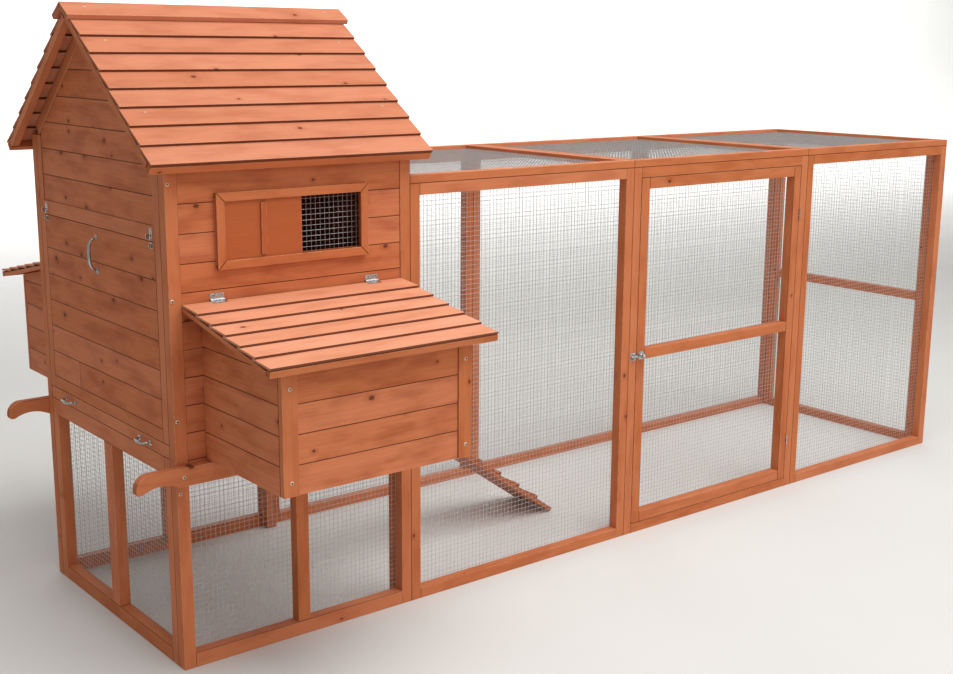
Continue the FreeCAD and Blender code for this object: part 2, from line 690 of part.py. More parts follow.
def bow_pull(span, rise, wire):
    """A bowed pull: an arc of wire between two round feet. Feet on the plane x = 0."""
    chord = "3"
    bow = f"({rise} - {chord})"
    radius = f"(({span} * {span} / 4 + {bow} * {bow}) / (2 * {bow}))"
    half = f"asin({span} / 2 / {radius})"
    arc = doc.addObject("Part::Torus", "arc")
    bind(arc, Radius1=radius, Radius2=wire, Angle3=f"2 * {half}")
    put(turn(arc, Z_AXIS, f"180deg - {half}"), f"{radius} - {rise}", "0", "0")
    feet = [put(rod("2 * " + wire, "5", X_AXIS), "-5", f"{sign}{span} / 2", "0") for sign in "-+"]
    return fuse(arc, *feet)


def pulls():
    access_pull = bow_pull("pull_span", "pull_rise", "access_pull_wire")
    tray_pull = bow_pull("tray_pull_span", "tray_pull_rise", "tray_pull_wire")
    node("access_door_handle",
         placed(access_pull, "0", "depth / 2", f"({DOOR_BOTTOM} + 0.845 * (head_level - {DOOR_BOTTOM}))",
                X_AXIS, "90"))
    level = "(leg_height + tray_gap / 2)"
    node("tray_handles",
         placed(tray_pull, "0", "depth / 2 - tray_pull_spacing / 2", level),
         placed(tray_pull, "0", "depth / 2 + tray_pull_spacing / 2", level))


def catch_plate():
    """The plate of a turning catch, on the plane x = 0, its pivot at the origin."""
    return put(block("catch_plate", "catch_width", "28"), "-catch_plate", "-catch_width / 2", "-8")


def catch_turn():
    """The turning part: a tongue that hangs down from its pivot, and a thumb tab."""
    boss = put(rod("5", "4.5", X_AXIS), "-6.2", "0", "0")
    tongue = put(block("2.5", "8", "8"), "-4.2", "-4", "-8")
    tab = put(block("9", "3", "12"), "-14", "-1.5", "-4")
    return fuse(boss, tongue, tab)


def catch_strike():
    """The part on the door: a small plate with two prongs, its top edge at z = 0."""
    plate = put(block("hinge_leaf", "catch_width", "14"), "-hinge_leaf", "-catch_width / 2", "-14")
    prongs = [put(block("4.5", "2.5", "9"), "-5.5", y, "-12") for y in ("-5", "2.5")]
    return fuse(plate, *prongs)


def catches(run_halves):
    plate = catch_plate()
    swing = catch_turn()
    strike = catch_strike()
    pivot = "(head_level + catch_rise)"
    front = "(stick * 2 + catch_inset)"
    back = f"(depth - {front})"
    top = "(head_level - fit - 1)"
    latch_x = f"({RUN_DOOR_LEFT} + door_stick / 2)"
    latch_z = "(run_mid_rail + 13)"
    keeper_x = f"({RUN_DOOR_LEFT} - run_door_gap - stick * 0.8)"
    keeper = fuse(stick(keeper_x, "-1.2", f"{latch_z} - 12", "20", "1.2", "24"),
                  stick(f"{keeper_x} + 3", "-9", f"{latch_z} - 9", "12", "8.5", "4"))
    node("catch_plates", placed(plate, "0", front, pivot), placed(plate, "0", back, pivot), keeper)
    node("catch_turn_front", placed(swing, "0", front, pivot))
    node("catch_turn_back", placed(swing, "0", back, pivot))
    node("access_door_fittings", placed(strike, "0", front, top), placed(strike, "0", back, top))
    latch_plate = stick(f"{latch_x} - 11", "-1.5", f"{latch_z} - 12", "24", "1.5", "24")
    node("run_door_fittings", latch_plate, *run_halves)
    boss = put(rod("7", "9", Y_AXIS), "0", "-10.7", "0")
    bar = put(block(f"{latch_x} - {keeper_x} - 2", "3.5", "8"), f"{keeper_x} + 2 - {latch_x}", "-5.2", "-4.5")
    tab = put(block("4", "8", "16"), "-2", "-18", "-8")
    node("run_latch_turn", placed(fuse(boss, bar, tab), latch_x, "0", latch_z))


# Access door, tray and carrying handles ---------------------------------------------

def access_door():
    left = "(stick * 2 + fit)"
    right = "(depth - stick * 2 - fit)"
    top = "(head_level - fit)"
    height = f"({top} - {DOOR_BOTTOM})"
    joint = f"({right} - access_joint)"
    boards = []
    for place in range(ACCESS_ROWS):
        bottom = f"({DOOR_BOTTOM} + {place} * {ACCESS_ROW} * {height})"
        upper = f"({DOOR_BOTTOM} + {place + 1} * {ACCESS_ROW} * {height})"
        upper = top if place == ACCESS_ROWS - 1 else upper
        ends = (left, joint, right) if place == 0 else (left, right)
        boards += [between("0", "board", start, end, bottom, upper) for start, end in zip(ends, ends[1:])]
    node("access_door_boards", *boards)
    low = f"({DOOR_BOTTOM} + stick / 2)"
    high = f"({top} - stick / 2)"
    node("access_door_battens",
         between("board", "stick", f"{left} + stick / 2", f"{left} + stick * 1.5", low, high),
         between("board", "stick", f"{right} - stick * 1.5", f"{right} - stick / 2", low, high))


def tray():
    """A folded sheet tray behind a wooden front, on two runners."""
    front = "(stick + fit)"
    back = "(depth - stick - fit)"
    end = "(board + 4 + tray_length)"
    start = "(board + 4)"
    floor = "(leg_height + 0.5)"
    rim = f"({floor} + tray_depth)"
    pan = fuse(
        between(start, end, front, back, floor, f"{floor} + tray_wall"),
        between(start, end, front, f"{front} + tray_wall", floor, rim),
        between(start, end, f"{back} - tray_wall", back, floor, rim),
        between(start, f"{start} + tray_wall", front, back, floor, rim),
        between(f"{end} - tray_wall", end, front, back, floor, rim),
    )
    node("tray_pan", pan)
    node("tray_front", between("0", start, f"{front} - fit / 2", f"{back} + fit / 2", "leg_height + fit",
                               f"{TRAY_TOP} - fit"))
    level = "(leg_height - 20)"
    right = "(house_length - stick)"
    runner = between("stick", right, "stick", "stick + 20", level, "leg_height")
    node("tray_runners", runner, mirrored(runner))


def edge_numbers(shape, is_wanted):
    return [number for number, edge in enumerate(shape.Edges, 1) if is_wanted(edge.BoundBox)]


def carry_handle():
    """A board along the side whose free end has a hand grip and a rounded tip."""
    bar = between("-handle_reach", f"{HOUSE_MIDDLE} + front_leg_post / 2", "-handle_board", "0",
                  "handle_level", "handle_level + handle_height")
    hollow = stand(rod("handle_hollow", "handle_board + 2", Y_AXIS), "-handle_reach * 0.45",
                   "-handle_board - 1", "handle_level - handle_hollow + 12")
    shaped = cut(bar, hollow)
    doc.recompute()
    box = shaped.Shape.BoundBox

    def at_tip(edge):
        return abs(edge.XMax - box.XMin) < 0.01 and edge.YLength > 1

    rounded = doc.addObject("Part::Fillet", "rounded")
    rounded.Base = shaped
    tip = {number: shaped.Shape.Edges[number - 1].BoundBox.ZMin
           for number in edge_numbers(shaped.Shape, at_tip)}
    big = float(sheet.get("handle_height")) * 0.75
    small = float(sheet.get("handle_height")) * 0.15
    highest = max(tip.values())
    rounded.Edges = [(number, big if z == highest else small, big if z == highest else small)
                     for number, z in tip.items()]
    both("carry_handle_front", "carry_handle_back", rounded)


# The run --------------------------------------------------------------------------

def bay(place):
    left = f"(house_length + {place} * bay_length)"
    return left, f"({left} + bay_length)"


def run_walls():
    frames = [rectangle_frame(*bay(place), "0", RUN_WALL, "run_foot_rail", "stick") for place in range(BAYS)]
    node("run_front_frames", *[piece for frame in frames for piece in frame])
    node("run_back_frames", *[mirrored(piece) for frame in frames for piece in frame])
    left = f"({LENGTH} - stick)"
    inner = "(depth - 2 * stick)"
    node("run_end_frame",
         between(left, LENGTH, "stick", "2 * stick", "0", RUN_WALL),
         between(left, LENGTH, inner, "depth - stick", "0", RUN_WALL),
         between(left, LENGTH, "2 * stick", inner, "0", "run_foot_rail"),
         between(left, LENGTH, "2 * stick", inner, f"{RUN_WALL} - stick", RUN_WALL),
         between(left, LENGTH, "2 * stick", inner, "run_mid_rail", "run_mid_rail + stick"))


def run_roof():
    sticks = []
    sheets = []
    for place in range(BAYS):
        left, right = bay(place)
        middle = "run_height - roof_stick / 2"
        for front, back in (("0", "stick"), ("depth - stick", "depth")):
            sticks.append(between(left, right, front, back, RUN_WALL, "run_height"))
        for start in (left, f"({right} - stick)"):
            sticks.append(between(start, f"{start} + stick", "stick", "depth - stick", RUN_WALL,
                                  "run_height"))
        sheets.append(between(f"{left} + stick", f"{right} - stick", "stick", "depth - stick",
                              f"{middle} - mesh / 2", f"{middle} + mesh / 2"))
    node("run_roof_frames", *sticks)
    node("run_roof_mesh", *sheets)


def wire_panels():
    """Mesh in the legs of the house and in the walls of the run."""
    rail = "(leg_height - leg_rail)"
    post = f"({HOUSE_MIDDLE} - front_leg_post / 2)"
    house = [front_mesh("stick", post, "foot_rail", rail),
             front_mesh(f"{post} + front_leg_post", "house_length - stick", "foot_rail", rail)]
    middle = "(depth / 2 - leg_post / 2)"
    inner = "(depth - 2 * stick)"
    x = "(stick - mesh - 2)"
    ends = [end_mesh(x, "2 * stick", middle, "foot_rail", rail),
            end_mesh(x, f"{middle} + leg_post", inner, "foot_rail", rail)]
    node("house_leg_mesh", *house, *[mirrored(piece) for piece in house], *ends)
    panels = []
    for place in range(BAYS):
        left, right = bay(place)
        panels.append(front_mesh(f"{left} + stick", f"{right} - stick", "run_foot_rail",
                                 f"{RUN_WALL} - stick"))
    x = f"({LENGTH} - stick + 2)"
    ends = [end_mesh(x, "2 * stick", inner, "run_foot_rail", "run_mid_rail"),
            end_mesh(x, "2 * stick", inner, "run_mid_rail + stick", f"{RUN_WALL} - stick")]
    node("run_wall_mesh", panels[0], panels[2], *[mirrored(panel) for panel in panels], *ends)


def run_door():
    bottom = "(run_foot_rail + fit)"
    top = f"({RUN_WALL} - stick - fit)"
    left = f"{RUN_DOOR_LEFT} + door_stick"
    right = f"{RUN_DOOR_RIGHT} - door_stick"
    middle = between(left, right, "0", "stick", "run_mid_rail", "run_mid_rail + stick")
    frame = rectangle_frame(RUN_DOOR_LEFT, RUN_DOOR_RIGHT, bottom, top, "door_stick", "door_stick",
                            "door_stick")
    node("run_door_frame", *frame, middle)
    node("run_door_mesh",
         front_mesh(left, right, f"{bottom} + door_stick", "run_mid_rail"),
         front_mesh(left, right, "run_mid_rail + stick", f"{top} - door_stick"))


# Inside: ramp, pop hole door and perch -------------------------------------------------

def on_ramp(along, lift, length, height):
    """A piece across the ramp, measured down the slope and up from its underside."""
    down = f"({along} + 12)"
    up = f"({lift} - ramp_board - knuckle - 0.1)"
    x = f"({RAMP_AXIS_X} + {down} * cos(ramp_slope) + {up} * sin(ramp_slope))"
    z = f"({RAMP_AXIS_Z} - {down} * sin(ramp_slope) + {up} * cos(ramp_slope))"
    piece = turn(block(length, "ramp_width", height), Y_AXIS, "ramp_slope")
    return stand(piece, x, "depth / 2 - ramp_width / 2", z)


def ramp():
    corner = f"({RAMP_AXIS_Z} - 12 * sin(ramp_slope) - (ramp_board + knuckle + 0.1) * cos(ramp_slope))"
    length = f"(({corner} - 0.5) / sin(ramp_slope))"
    node("ramp_board", on_ramp("0", "0", length, "ramp_board"))
    cleats = []
    for place in range(1, RAMP_CLEATS + 1):
        cleats.append(on_ramp(f"{place} * {length} / {RAMP_CLEATS + 1}", "ramp_board", "14", "9"))
    node("ramp_cleats", *cleats)


def pop_door():
    """A board that slides across the pop hole between two lipped guides."""
    face = "(house_length + 0.5)"
    outer = f"({face} + pop_board)"
    start = f"({POP_BACK} + 8)"
    panel = between(face, outer, start, f"{start} + pop_width + 16", f"{SILL_TOP} + 1", f"{POP_TOP} + 8")
    knob = stand(rod("9", "14", X_AXIS), outer, f"{start} + 24", f"({SILL_TOP} + {POP_TOP}) / 2")
    node("pop_door", fuse(panel, knob))
    front = f"({POP_FRONT} - 20)"
    back = "(depth - stick * 1.5)"
    lip = f"({outer} + 1)"
    node("pop_door_guides",
         between("house_length", lip, front, back, f"{SILL_TOP} - 8", SILL_TOP),
         between(lip, f"{lip} + 4", front, back, f"{SILL_TOP} - 8", f"{SILL_TOP} + 8"),
         between("house_length", lip, front, back, f"{POP_TOP} + 9", f"{POP_TOP} + 21"),
         between(lip, f"{lip} + 4", front, back, f"{POP_TOP} + 1", f"{POP_TOP} + 21"))


def perch():
    front = "(recess + board)"
    left = f"({HOUSE_MIDDLE} - stick / 2)"
    level = "(nest_door_sill + nest_door_height + 40)"
    bar = between(left, f"{left} + stick", front, f"depth - {front}", level, f"{level} + stick")
    block_under = between(f"{left} - 10", f"{left} + stick + 10", front, f"{front} + 20",
                          f"{level} - 20", level)
    node("perch", bar, block_under, mirrored(block_under))


def screws():
    """Heads of the screws that can be seen on the posts and carrying handles."""
    head = put(rod("screw_head", "0.9", Y_AXIS), "0", "-0.9", "0")
    nest = "-nest_reach"
    post = "nest_post / 2"
    heads = [placed(head, "stick / 4", "0", z) for z in ("leg_height - 75", f"{TRAY_TOP} + 61",
                                                         "head_level - 126", f"{POST_TOP} - 68")]
    for x in (f"{NEST_LEFT} + {post}", f"{NEST_RIGHT} - {post}"):
        for z in ("nest_base + 31", f"{NEST_FRONT_TOP} - 44"):
            heads.append(placed(head, x, nest, z))
    heads.append(placed(head, "8", "-handle_board", "handle_level + handle_height / 2"))
    node("wood_screws", *heads, *[mirrored(piece) for piece in heads])


def check_and_write():
    for thing in doc.Objects:
        if "Invalid" in thing.State or "Error" in thing.State:
            raise RuntimeError("failed: " + thing.Label)
    os.makedirs("parts", exist_ok=True)
    for thing in nodes:
        shape = thing.Shape
        if shape.isNull() or not shape.isValid() or not shape.Solids:
            raise RuntimeError("bad shape: " + thing.Label)
        shape.exportStep("parts/" + thing.Label + ".step")
        print(thing.Label, len(shape.Solids), "solids", round(shape.Volume / 1000), "cm3")
    print(len(nodes), "nodes")


house_frames()
all_wall_boards()
roof()
window()
window_shutter()
nests()
lids()
catches(hinges())
pulls()
access_door()
tray()
carry_handle()
run_walls()
run_roof()
wire_panels()
run_door()
ramp()
pop_door()
perch()
screws()
doc.recompute()
check_and_write()
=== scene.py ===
# %% [markdown]
# # A chicken coop with a wire run
#
# The coop is soft wood all over: a gabled house on mesh legs, a nest box on each long
# side, and a run of framed wire panels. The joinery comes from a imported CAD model,
# which fixes every size and every moving part. This lesson turns its plain solids into
# stained boards, welded wire and zinc hardware, and never moves any of them.

# %% Load the frame
import json
import math
import random

import bmesh
import bpy
from mathutils import Matrix, Vector
from mathutils.bvhtree import BVHTree


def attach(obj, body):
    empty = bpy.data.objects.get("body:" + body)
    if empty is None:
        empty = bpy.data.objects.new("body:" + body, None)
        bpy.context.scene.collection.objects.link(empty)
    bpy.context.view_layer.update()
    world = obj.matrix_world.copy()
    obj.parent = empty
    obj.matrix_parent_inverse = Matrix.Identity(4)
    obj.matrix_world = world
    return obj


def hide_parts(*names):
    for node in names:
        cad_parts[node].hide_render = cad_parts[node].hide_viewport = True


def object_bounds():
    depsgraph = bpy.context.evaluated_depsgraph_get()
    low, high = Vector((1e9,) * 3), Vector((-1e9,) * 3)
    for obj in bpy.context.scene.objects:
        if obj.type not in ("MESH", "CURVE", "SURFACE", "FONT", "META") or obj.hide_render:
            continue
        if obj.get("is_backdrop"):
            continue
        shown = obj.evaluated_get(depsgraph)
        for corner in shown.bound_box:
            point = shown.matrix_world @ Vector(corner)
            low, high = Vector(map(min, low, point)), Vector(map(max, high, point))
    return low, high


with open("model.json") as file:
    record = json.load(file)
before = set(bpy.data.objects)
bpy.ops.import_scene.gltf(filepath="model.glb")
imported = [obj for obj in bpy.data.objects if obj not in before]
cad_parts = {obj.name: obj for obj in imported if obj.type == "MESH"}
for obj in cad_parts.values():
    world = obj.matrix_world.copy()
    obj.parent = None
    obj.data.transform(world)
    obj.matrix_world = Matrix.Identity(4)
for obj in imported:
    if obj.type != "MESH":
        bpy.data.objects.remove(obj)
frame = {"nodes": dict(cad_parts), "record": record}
cad_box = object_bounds()
record = frame["record"]
body_of_node = {node: body for body, nodes in record["behaviour"]["bodies"].items() for node in nodes}
slot_of_node = {part["node"]: part["material_slot"] for part in record["subparts"]}

# %% [markdown]
# ## Finding the separate boards
#
# One CAD part can hold many boards: the front wall alone has fifteen. Each board needs
# its own grain, so the first tool takes a part's mesh apart. The faces of a solid come
# one after another, and the solid is complete when every edge has met its neighbour.
# That is safer than welding the mesh first, which would join boards that touch.

# %% Split a part into its solids
CAD_UNIT = 1e-6


def solids_of(node):
    """A list of (corner points, faces) for the closed solids in a CAD part."""
    mesh = frame["nodes"][node].data
    found, index, points, faces, open_edges = [], {}, [], [], set()
    for polygon in mesh.polygons:
        corners = []
        for vertex in polygon.vertices:
            place = mesh.vertices[vertex].co
            key = tuple(round(value / CAD_UNIT) for value in place)
            if key not in index:
                index[key] = len(points)
                points.append(place.copy())
            corners.append(index[key])
        faces.append(corners)
        for a, b in zip(corners, corners[1:] + corners[:1]):
            if (b, a) in open_edges:
                open_edges.discard((b, a))
            else:
                open_edges.add((a, b))
        if not open_edges:
            found.append((points, faces))
            index, points, faces = {}, [], []
    return found


def box_of(points):
    """Lowest and highest corner of some points."""
    low = Vector(min(point[axis] for point in points) for axis in range(3))
    high = Vector(max(point[axis] for point in points) for axis in range(3))
    return low, high


WOOD_SLOTS = ("stained_fir", "roof_fir")
WIRE_SLOT = "galvanised_mesh"
wood_nodes = [node for node in frame["nodes"] if slot_of_node[node] in WOOD_SLOTS]
wood_solids = {node: solids_of(node) for node in wood_nodes}
print(sum(len(found) for found in wood_solids.values()), "boards and sticks in", len(wood_nodes), "parts")

# %% [markdown]
# ## Small helpers for shader nodes
#
# Every finish below is a network of nodes. Two helpers keep those networks readable:
# one adds a node with its settings and inputs, the other does one step of arithmetic.
# A shader group is made once and used by several materials, each with its own values.

# %% Node helpers
COLUMN = 190


def add(tree, kind, inputs=None, **settings):
    """Add a node. An input can be a plain value or another node's output."""
    made = tree.nodes.new("ShaderNode" + kind)
    made.location = (COLUMN * len(tree.nodes), 0)
    for name, value in settings.items():
        setattr(made, name, value)
    for name, value in (inputs or {}).items():
        if isinstance(value, bpy.types.NodeSocket):
            tree.links.new(value, made.inputs[name])
        else:
            made.inputs[name].default_value = value
    return made


def maths(tree, operation, a, b=0.0, c=0.0, clamp=False):
    """One arithmetic step, and its result."""
    made = add(tree, "Math", {0: a, 1: b, 2: c}, operation=operation, use_clamp=clamp)
    return made.outputs[0]


def spread(tree, value, low, high, to_low=0.0, to_high=1.0, smooth=True):
    """Stretch a value's range, with a soft shoulder at both ends."""
    kind = "SMOOTHSTEP" if smooth else "LINEAR"
    inputs = {"Value": value, "From Min": low, "From Max": high, "To Min": to_low, "To Max": to_high}
    return add(tree, "MapRange", inputs, interpolation_type=kind).outputs["Result"]


def blend_colours(tree, factor, a, b, blend="MIX"):
    made = add(tree, "Mix", data_type="RGBA", blend_type=blend)
    for name, value in (("Factor", factor), ("A", a), ("B", b)):
        socket = [s for s in made.inputs if s.name == name and s.enabled][0]
        if isinstance(value, bpy.types.NodeSocket):
            tree.links.new(value, socket)
        else:
            socket.default_value = value
    return [s for s in made.outputs if s.enabled][0]


def shader_group(name, inputs, outputs):
    """A new group with named sockets. Returns its tree and its two end nodes."""
    tree = bpy.data.node_groups.new(name, "ShaderNodeTree")
    for label, kind, value in inputs:
        socket = tree.interface.new_socket(label, in_out="INPUT", socket_type="NodeSocket" + kind)
        if value is not None:
            socket.default_value = value
    for label, kind in outputs:
        tree.interface.new_socket(label, in_out="OUTPUT", socket_type="NodeSocket" + kind)
    return tree, tree.nodes.new("NodeGroupInput"), tree.nodes.new("NodeGroupOutput")


def place_group(tree, group, inputs):
    made = add(tree, "Group", node_tree=group)
    for name, value in inputs.items():
        if isinstance(value, bpy.types.NodeSocket):
            tree.links.new(value, made.inputs[name])
        else:
            made.inputs[name].default_value = value
    return made.outputs


def grey(value):
    return (value, value, value, 1.0)


# %% [markdown]
# ## The figure of the fir
#
# Fir boards show long pale and dark streaks, growth rings that wander across the face,
# and small dark knots that push the rings aside. A picture of wood would repeat from
# board to board, so the figure is worked out from a place on the board instead: x runs
# along the grain, y across the width and z through the thickness, in metres.

# %% Shader group: fir figure
KNOT_CELLS = (7.5, 10.5, 1.0)
KNOT_LEAST, KNOT_SPREAD = 0.024, 0.036
SLOW_WANDER = (1.7, 9.0, 9.0)
FINE_STREAKS = (4.0, 130.0, 130.0)
WIDE_CLOUDS = (8.0, 26.0, 26.0)
RING_TURN = 760.0


def make_fir_figure():
    tree, start, end = shader_group(
        "Fir figure",
        [("Place", "Vector", None), ("Pale", "Color", grey(0.8)), ("Deep", "Color", grey(0.4)),
         ("Knot", "Color", grey(0.05)), ("Rings", "Float", 0.35), ("Knots", "Float", 0.5)],
        [("Color", "Color"), ("Height", "Float")])
    place = start.outputs["Place"]
    axes = add(tree, "SeparateXYZ", {0: place}).outputs
    flat = add(tree, "CombineXYZ", {0: axes[0], 1: axes[1]}).outputs[0]
    spots = add(tree, "VectorMath", {0: flat, 1: KNOT_CELLS}, operation="MULTIPLY").outputs[0]
    cells = add(tree, "TexVoronoi", {"Vector": spots, "Scale": 1.0, "Randomness": 1.0},
                voronoi_dimensions="2D").outputs
    pick = add(tree, "SeparateColor", {0: cells["Color"]}).outputs
    chosen = maths(tree, "LESS_THAN", pick[0], start.outputs["Knots"])
    size = maths(tree, "MULTIPLY_ADD", pick[1], KNOT_SPREAD, KNOT_LEAST)
    near = maths(tree, "DIVIDE", cells["Distance"], size)
    knot = maths(tree, "MULTIPLY", spread(tree, near, 1.25, 0.7), chosen)
    halo = maths(tree, "MULTIPLY", spread(tree, near, 4.0, 0.8), chosen)
    slow = add(tree, "VectorMath", {0: place, 1: SLOW_WANDER}, operation="MULTIPLY").outputs[0]
    wander = add(tree, "TexNoise", {"Vector": slow, "Scale": 1.0, "Detail": 2.0}).outputs[0]
    across = maths(tree, "MULTIPLY_ADD", wander, 0.075, axes[1])
    across = maths(tree, "MULTIPLY_ADD", halo, 0.012, across)
    across = maths(tree, "MULTIPLY_ADD", axes[2], 0.6, across)
    ring = maths(tree, "SINE", maths(tree, "MULTIPLY", across, RING_TURN))
    ring = spread(tree, ring, -0.5, 1.0)
    thin = add(tree, "VectorMath", {0: place, 1: FINE_STREAKS}, operation="MULTIPLY").outputs[0]
    fine = {"Vector": thin, "Scale": 1.0, "Detail": 5.0, "Roughness": 0.62}
    streak = add(tree, "TexNoise", fine).outputs[0]
    wide = add(tree, "VectorMath", {0: place, 1: WIDE_CLOUDS}, operation="MULTIPLY").outputs[0]
    cloud = add(tree, "TexNoise", {"Vector": wide, "Scale": 1.0, "Detail": 3.0}).outputs[0]
    streak = spread(tree, streak, 0.36, 0.66)
    cloud = spread(tree, cloud, 0.40, 0.72)
    dark = maths(tree, "MULTIPLY", ring, start.outputs["Rings"])
    dark = maths(tree, "MULTIPLY_ADD", streak, 0.20, dark)
    dark = maths(tree, "MULTIPLY_ADD", cloud, 0.58, dark)
    dark = maths(tree, "MULTIPLY_ADD", halo, 0.42, dark, clamp=True)
    wood = blend_colours(tree, dark, start.outputs["Pale"], start.outputs["Deep"])
    wood = blend_colours(tree, maths(tree, "MULTIPLY", knot, 0.85), wood, start.outputs["Knot"])
    height = maths(tree, "MULTIPLY_ADD", ring, 0.35, streak)
    height = maths(tree, "MULTIPLY_ADD", knot, 0.8, height)
    tree.links.new(wood, end.inputs["Color"])
    tree.links.new(height, end.inputs["Height"])
    return tree


fir_figure = make_fir_figure()
print("Fir figure:", len(fir_figure.nodes), "nodes")

# %% [markdown]
# ## Edges, joints and end grain
#
# Stain rubs thin on a free edge and soaks in dark where the grain ends. The joint between
# two boards and the lower edge of each lapped board get painted shade, for the shadow
# that falls there. When a board is built its faces are marked with those three facts,
# so this group only has to read the marks and shift the colour.

# %% Shader group: edge wear, end grain and painted joint shade
RUBBED_STAIN = (0.95, 0.62, 0.42, 1.0)
# One dark colour serves twice: end grain soaked with stain, and painted shade in joints and under laps.
SHADE_AND_SOAKED_STAIN = (0.085, 0.016, 0.005, 1.0)
END_GRAIN_SOAK = 0.3


def make_wear_and_joint_shade():
    tree, start, end = shader_group(
        "Edge wear, end grain and joint shade",
        [("Color", "Color", grey(0.5)), ("Marks", "Vector", None), ("Tone", "Float", 0.5),
         ("Place", "Vector", None),
         ("Edge lift", "Float", 0.25), ("Joint shade", "Float", 0.6), ("Tone spread", "Float", 0.25)],
        [("Color", "Color"), ("Roughness", "Float")])
    marks = add(tree, "SeparateXYZ", {0: start.outputs["Marks"]}).outputs
    patches = {"Vector": start.outputs["Place"], "Scale": 55.0, "Detail": 3.0}
    patchy = add(tree, "TexNoise", patches).outputs[0]
    rubbed = maths(tree, "MULTIPLY", marks[0], spread(tree, patchy, 0.35, 0.62))
    rubbed = maths(tree, "MULTIPLY", rubbed, start.outputs["Edge lift"])
    # Joint marks paint shade into the grooves between boards; end grain soaks dark.
    shade_and_soak = maths(tree, "MULTIPLY", marks[1], start.outputs["Joint shade"])
    shade_and_soak = maths(tree, "MULTIPLY_ADD", marks[2], END_GRAIN_SOAK, shade_and_soak, clamp=True)
    centred = maths(tree, "SUBTRACT", start.outputs["Tone"], 0.5)
    bright = maths(tree, "MULTIPLY_ADD", centred, start.outputs["Tone spread"], 1.0)
    full = maths(tree, "MULTIPLY_ADD", centred, -0.05, 1.0)
    shift = {"Hue": 0.5, "Saturation": full, "Value": bright, "Color": start.outputs["Color"]}
    toned = add(tree, "HueSaturation", shift).outputs[0]
    lighter = blend_colours(tree, rubbed, toned, RUBBED_STAIN)
    darker = blend_colours(tree, shade_and_soak, lighter, SHADE_AND_SOAKED_STAIN)
    tree.links.new(darker, end.inputs["Color"])
    rough = maths(tree, "MULTIPLY_ADD", patchy, 0.16, 0.54)
    tree.links.new(maths(tree, "MULTIPLY_ADD", marks[2], 0.2, rough), end.inputs["Roughness"])
    return tree


wear_and_joint_shade = make_wear_and_joint_shade()


def new_material(name):
    material = bpy.data.materials.new(name)
    material.use_nodes = True
    tree = material.node_tree
    return material, tree, tree.nodes["Principled BSDF"]


def read_attribute(tree, name, output="Vector"):
    return add(tree, "Attribute", attribute_name=name, attribute_type="GEOMETRY").outputs[output]


def fir_material(name, pale, deep, rings, knots, joint=0.6, edge=0.25, tones=0.25):
    """Stained fir with its own pair of colours."""
    material, tree, shader = new_material(name)
    place = read_attribute(tree, "grain")
    figure = place_group(tree, fir_figure, {"Place": place, "Pale": pale, "Deep": deep, "Knot": KNOT,
                                            "Rings": rings, "Knots": knots})
    # The joint value sets how dark the painted shade is in joints and under laps.
    finish = place_group(tree, wear_and_joint_shade, {
        "Color": figure["Color"], "Marks": read_attribute(tree, "marks"),
        "Tone": read_attribute(tree, "tone", "Fac"), "Place": place,
        "Edge lift": edge, "Joint shade": joint, "Tone spread": tones})
    relief = add(tree, "Bump", {"Height": figure["Height"], "Strength": 0.25, "Distance": 0.0006})
    tree.links.new(finish["Color"], shader.inputs["Base Color"])
    tree.links.new(finish["Roughness"], shader.inputs["Roughness"])
    tree.links.new(relief.outputs[0], shader.inputs["Normal"])
    shader.inputs["Specular IOR Level"].default_value = 0.16
    return material


KNOT = (0.115, 0.026, 0.010, 1)
wall_fir = fir_material("Stained fir wall", (0.590, 0.185, 0.074, 1), (0.375, 0.090, 0.032, 1),
                        rings=0.07, knots=0.62, joint=0.90, edge=0.12, tones=0.13)
frame_fir = fir_material("Stained fir frame", (0.575, 0.185, 0.074, 1), (0.440, 0.118, 0.041, 1),
                         rings=0.06, knots=0.12, joint=0.80, edge=0.20, tones=0.12)
shingle_fir = fir_material("Stained fir roof", (0.590, 0.218, 0.118, 1), (0.455, 0.142, 0.069, 1),
                           rings=0.08, knots=0.26, joint=0.85, edge=0.20, tones=0.10)
# The lid is the roof's fir in lighter colours: painted light, since the eave shades the lid.
lid_fir_painted_light = fir_material("Stained fir lid, painted lighter", (0.760, 0.330, 0.195, 1), (0.620, 0.235, 0.125, 1),
                       rings=0.08, knots=0.22, joint=0.85, edge=0.20, tones=0.10)
shutter_ply = fir_material("Stained shutter board", (0.440, 0.104, 0.026, 1), (0.405, 0.092, 0.022, 1),
                           rings=0.02, knots=0.0, tones=0.04)
print("five fir finishes")

# %% [markdown]
# ## Boards
#
# A board fresh from CAD has razor edges, which no planed board has, and it looks like
# plastic because no edge catches the light. Each solid is rebuilt with its arrises
# eased by about a millimetre. At the same time it gets its grain places, a tone of its
# own, and the marks for free edges, painted joint shade and end grain.

# %% Neighbours of every board
JOINT_REACH = 0.0016
all_points, all_faces, owner = [], [], []
for node, found in wood_solids.items():
    for place, (points, faces) in enumerate(found):
        base = len(all_points)
        all_points += points
        all_faces += [[base + corner for corner in face] for face in faces]
        owner += [(node, place)] * len(faces)
neighbours = BVHTree.FromPolygons(all_points, all_faces)


def beside_another(point, normal, own):
    """True where another board lies just in front of this point."""
    near = neighbours.find_nearest_range(point + normal * JOINT_REACH, JOINT_REACH)
    return any(owner[hit[2]] != own for hit in near)


print(len(all_faces), "faces to look for neighbours in")

# %% Build the boards
LAPPED_NODES = ("roof_front_boards", "roof_back_boards", "lid_front_boards", "lid_back_boards")
SHARP = math.radians(35)
LEVEL = math.radians(1)
END_GRAIN = 0.85


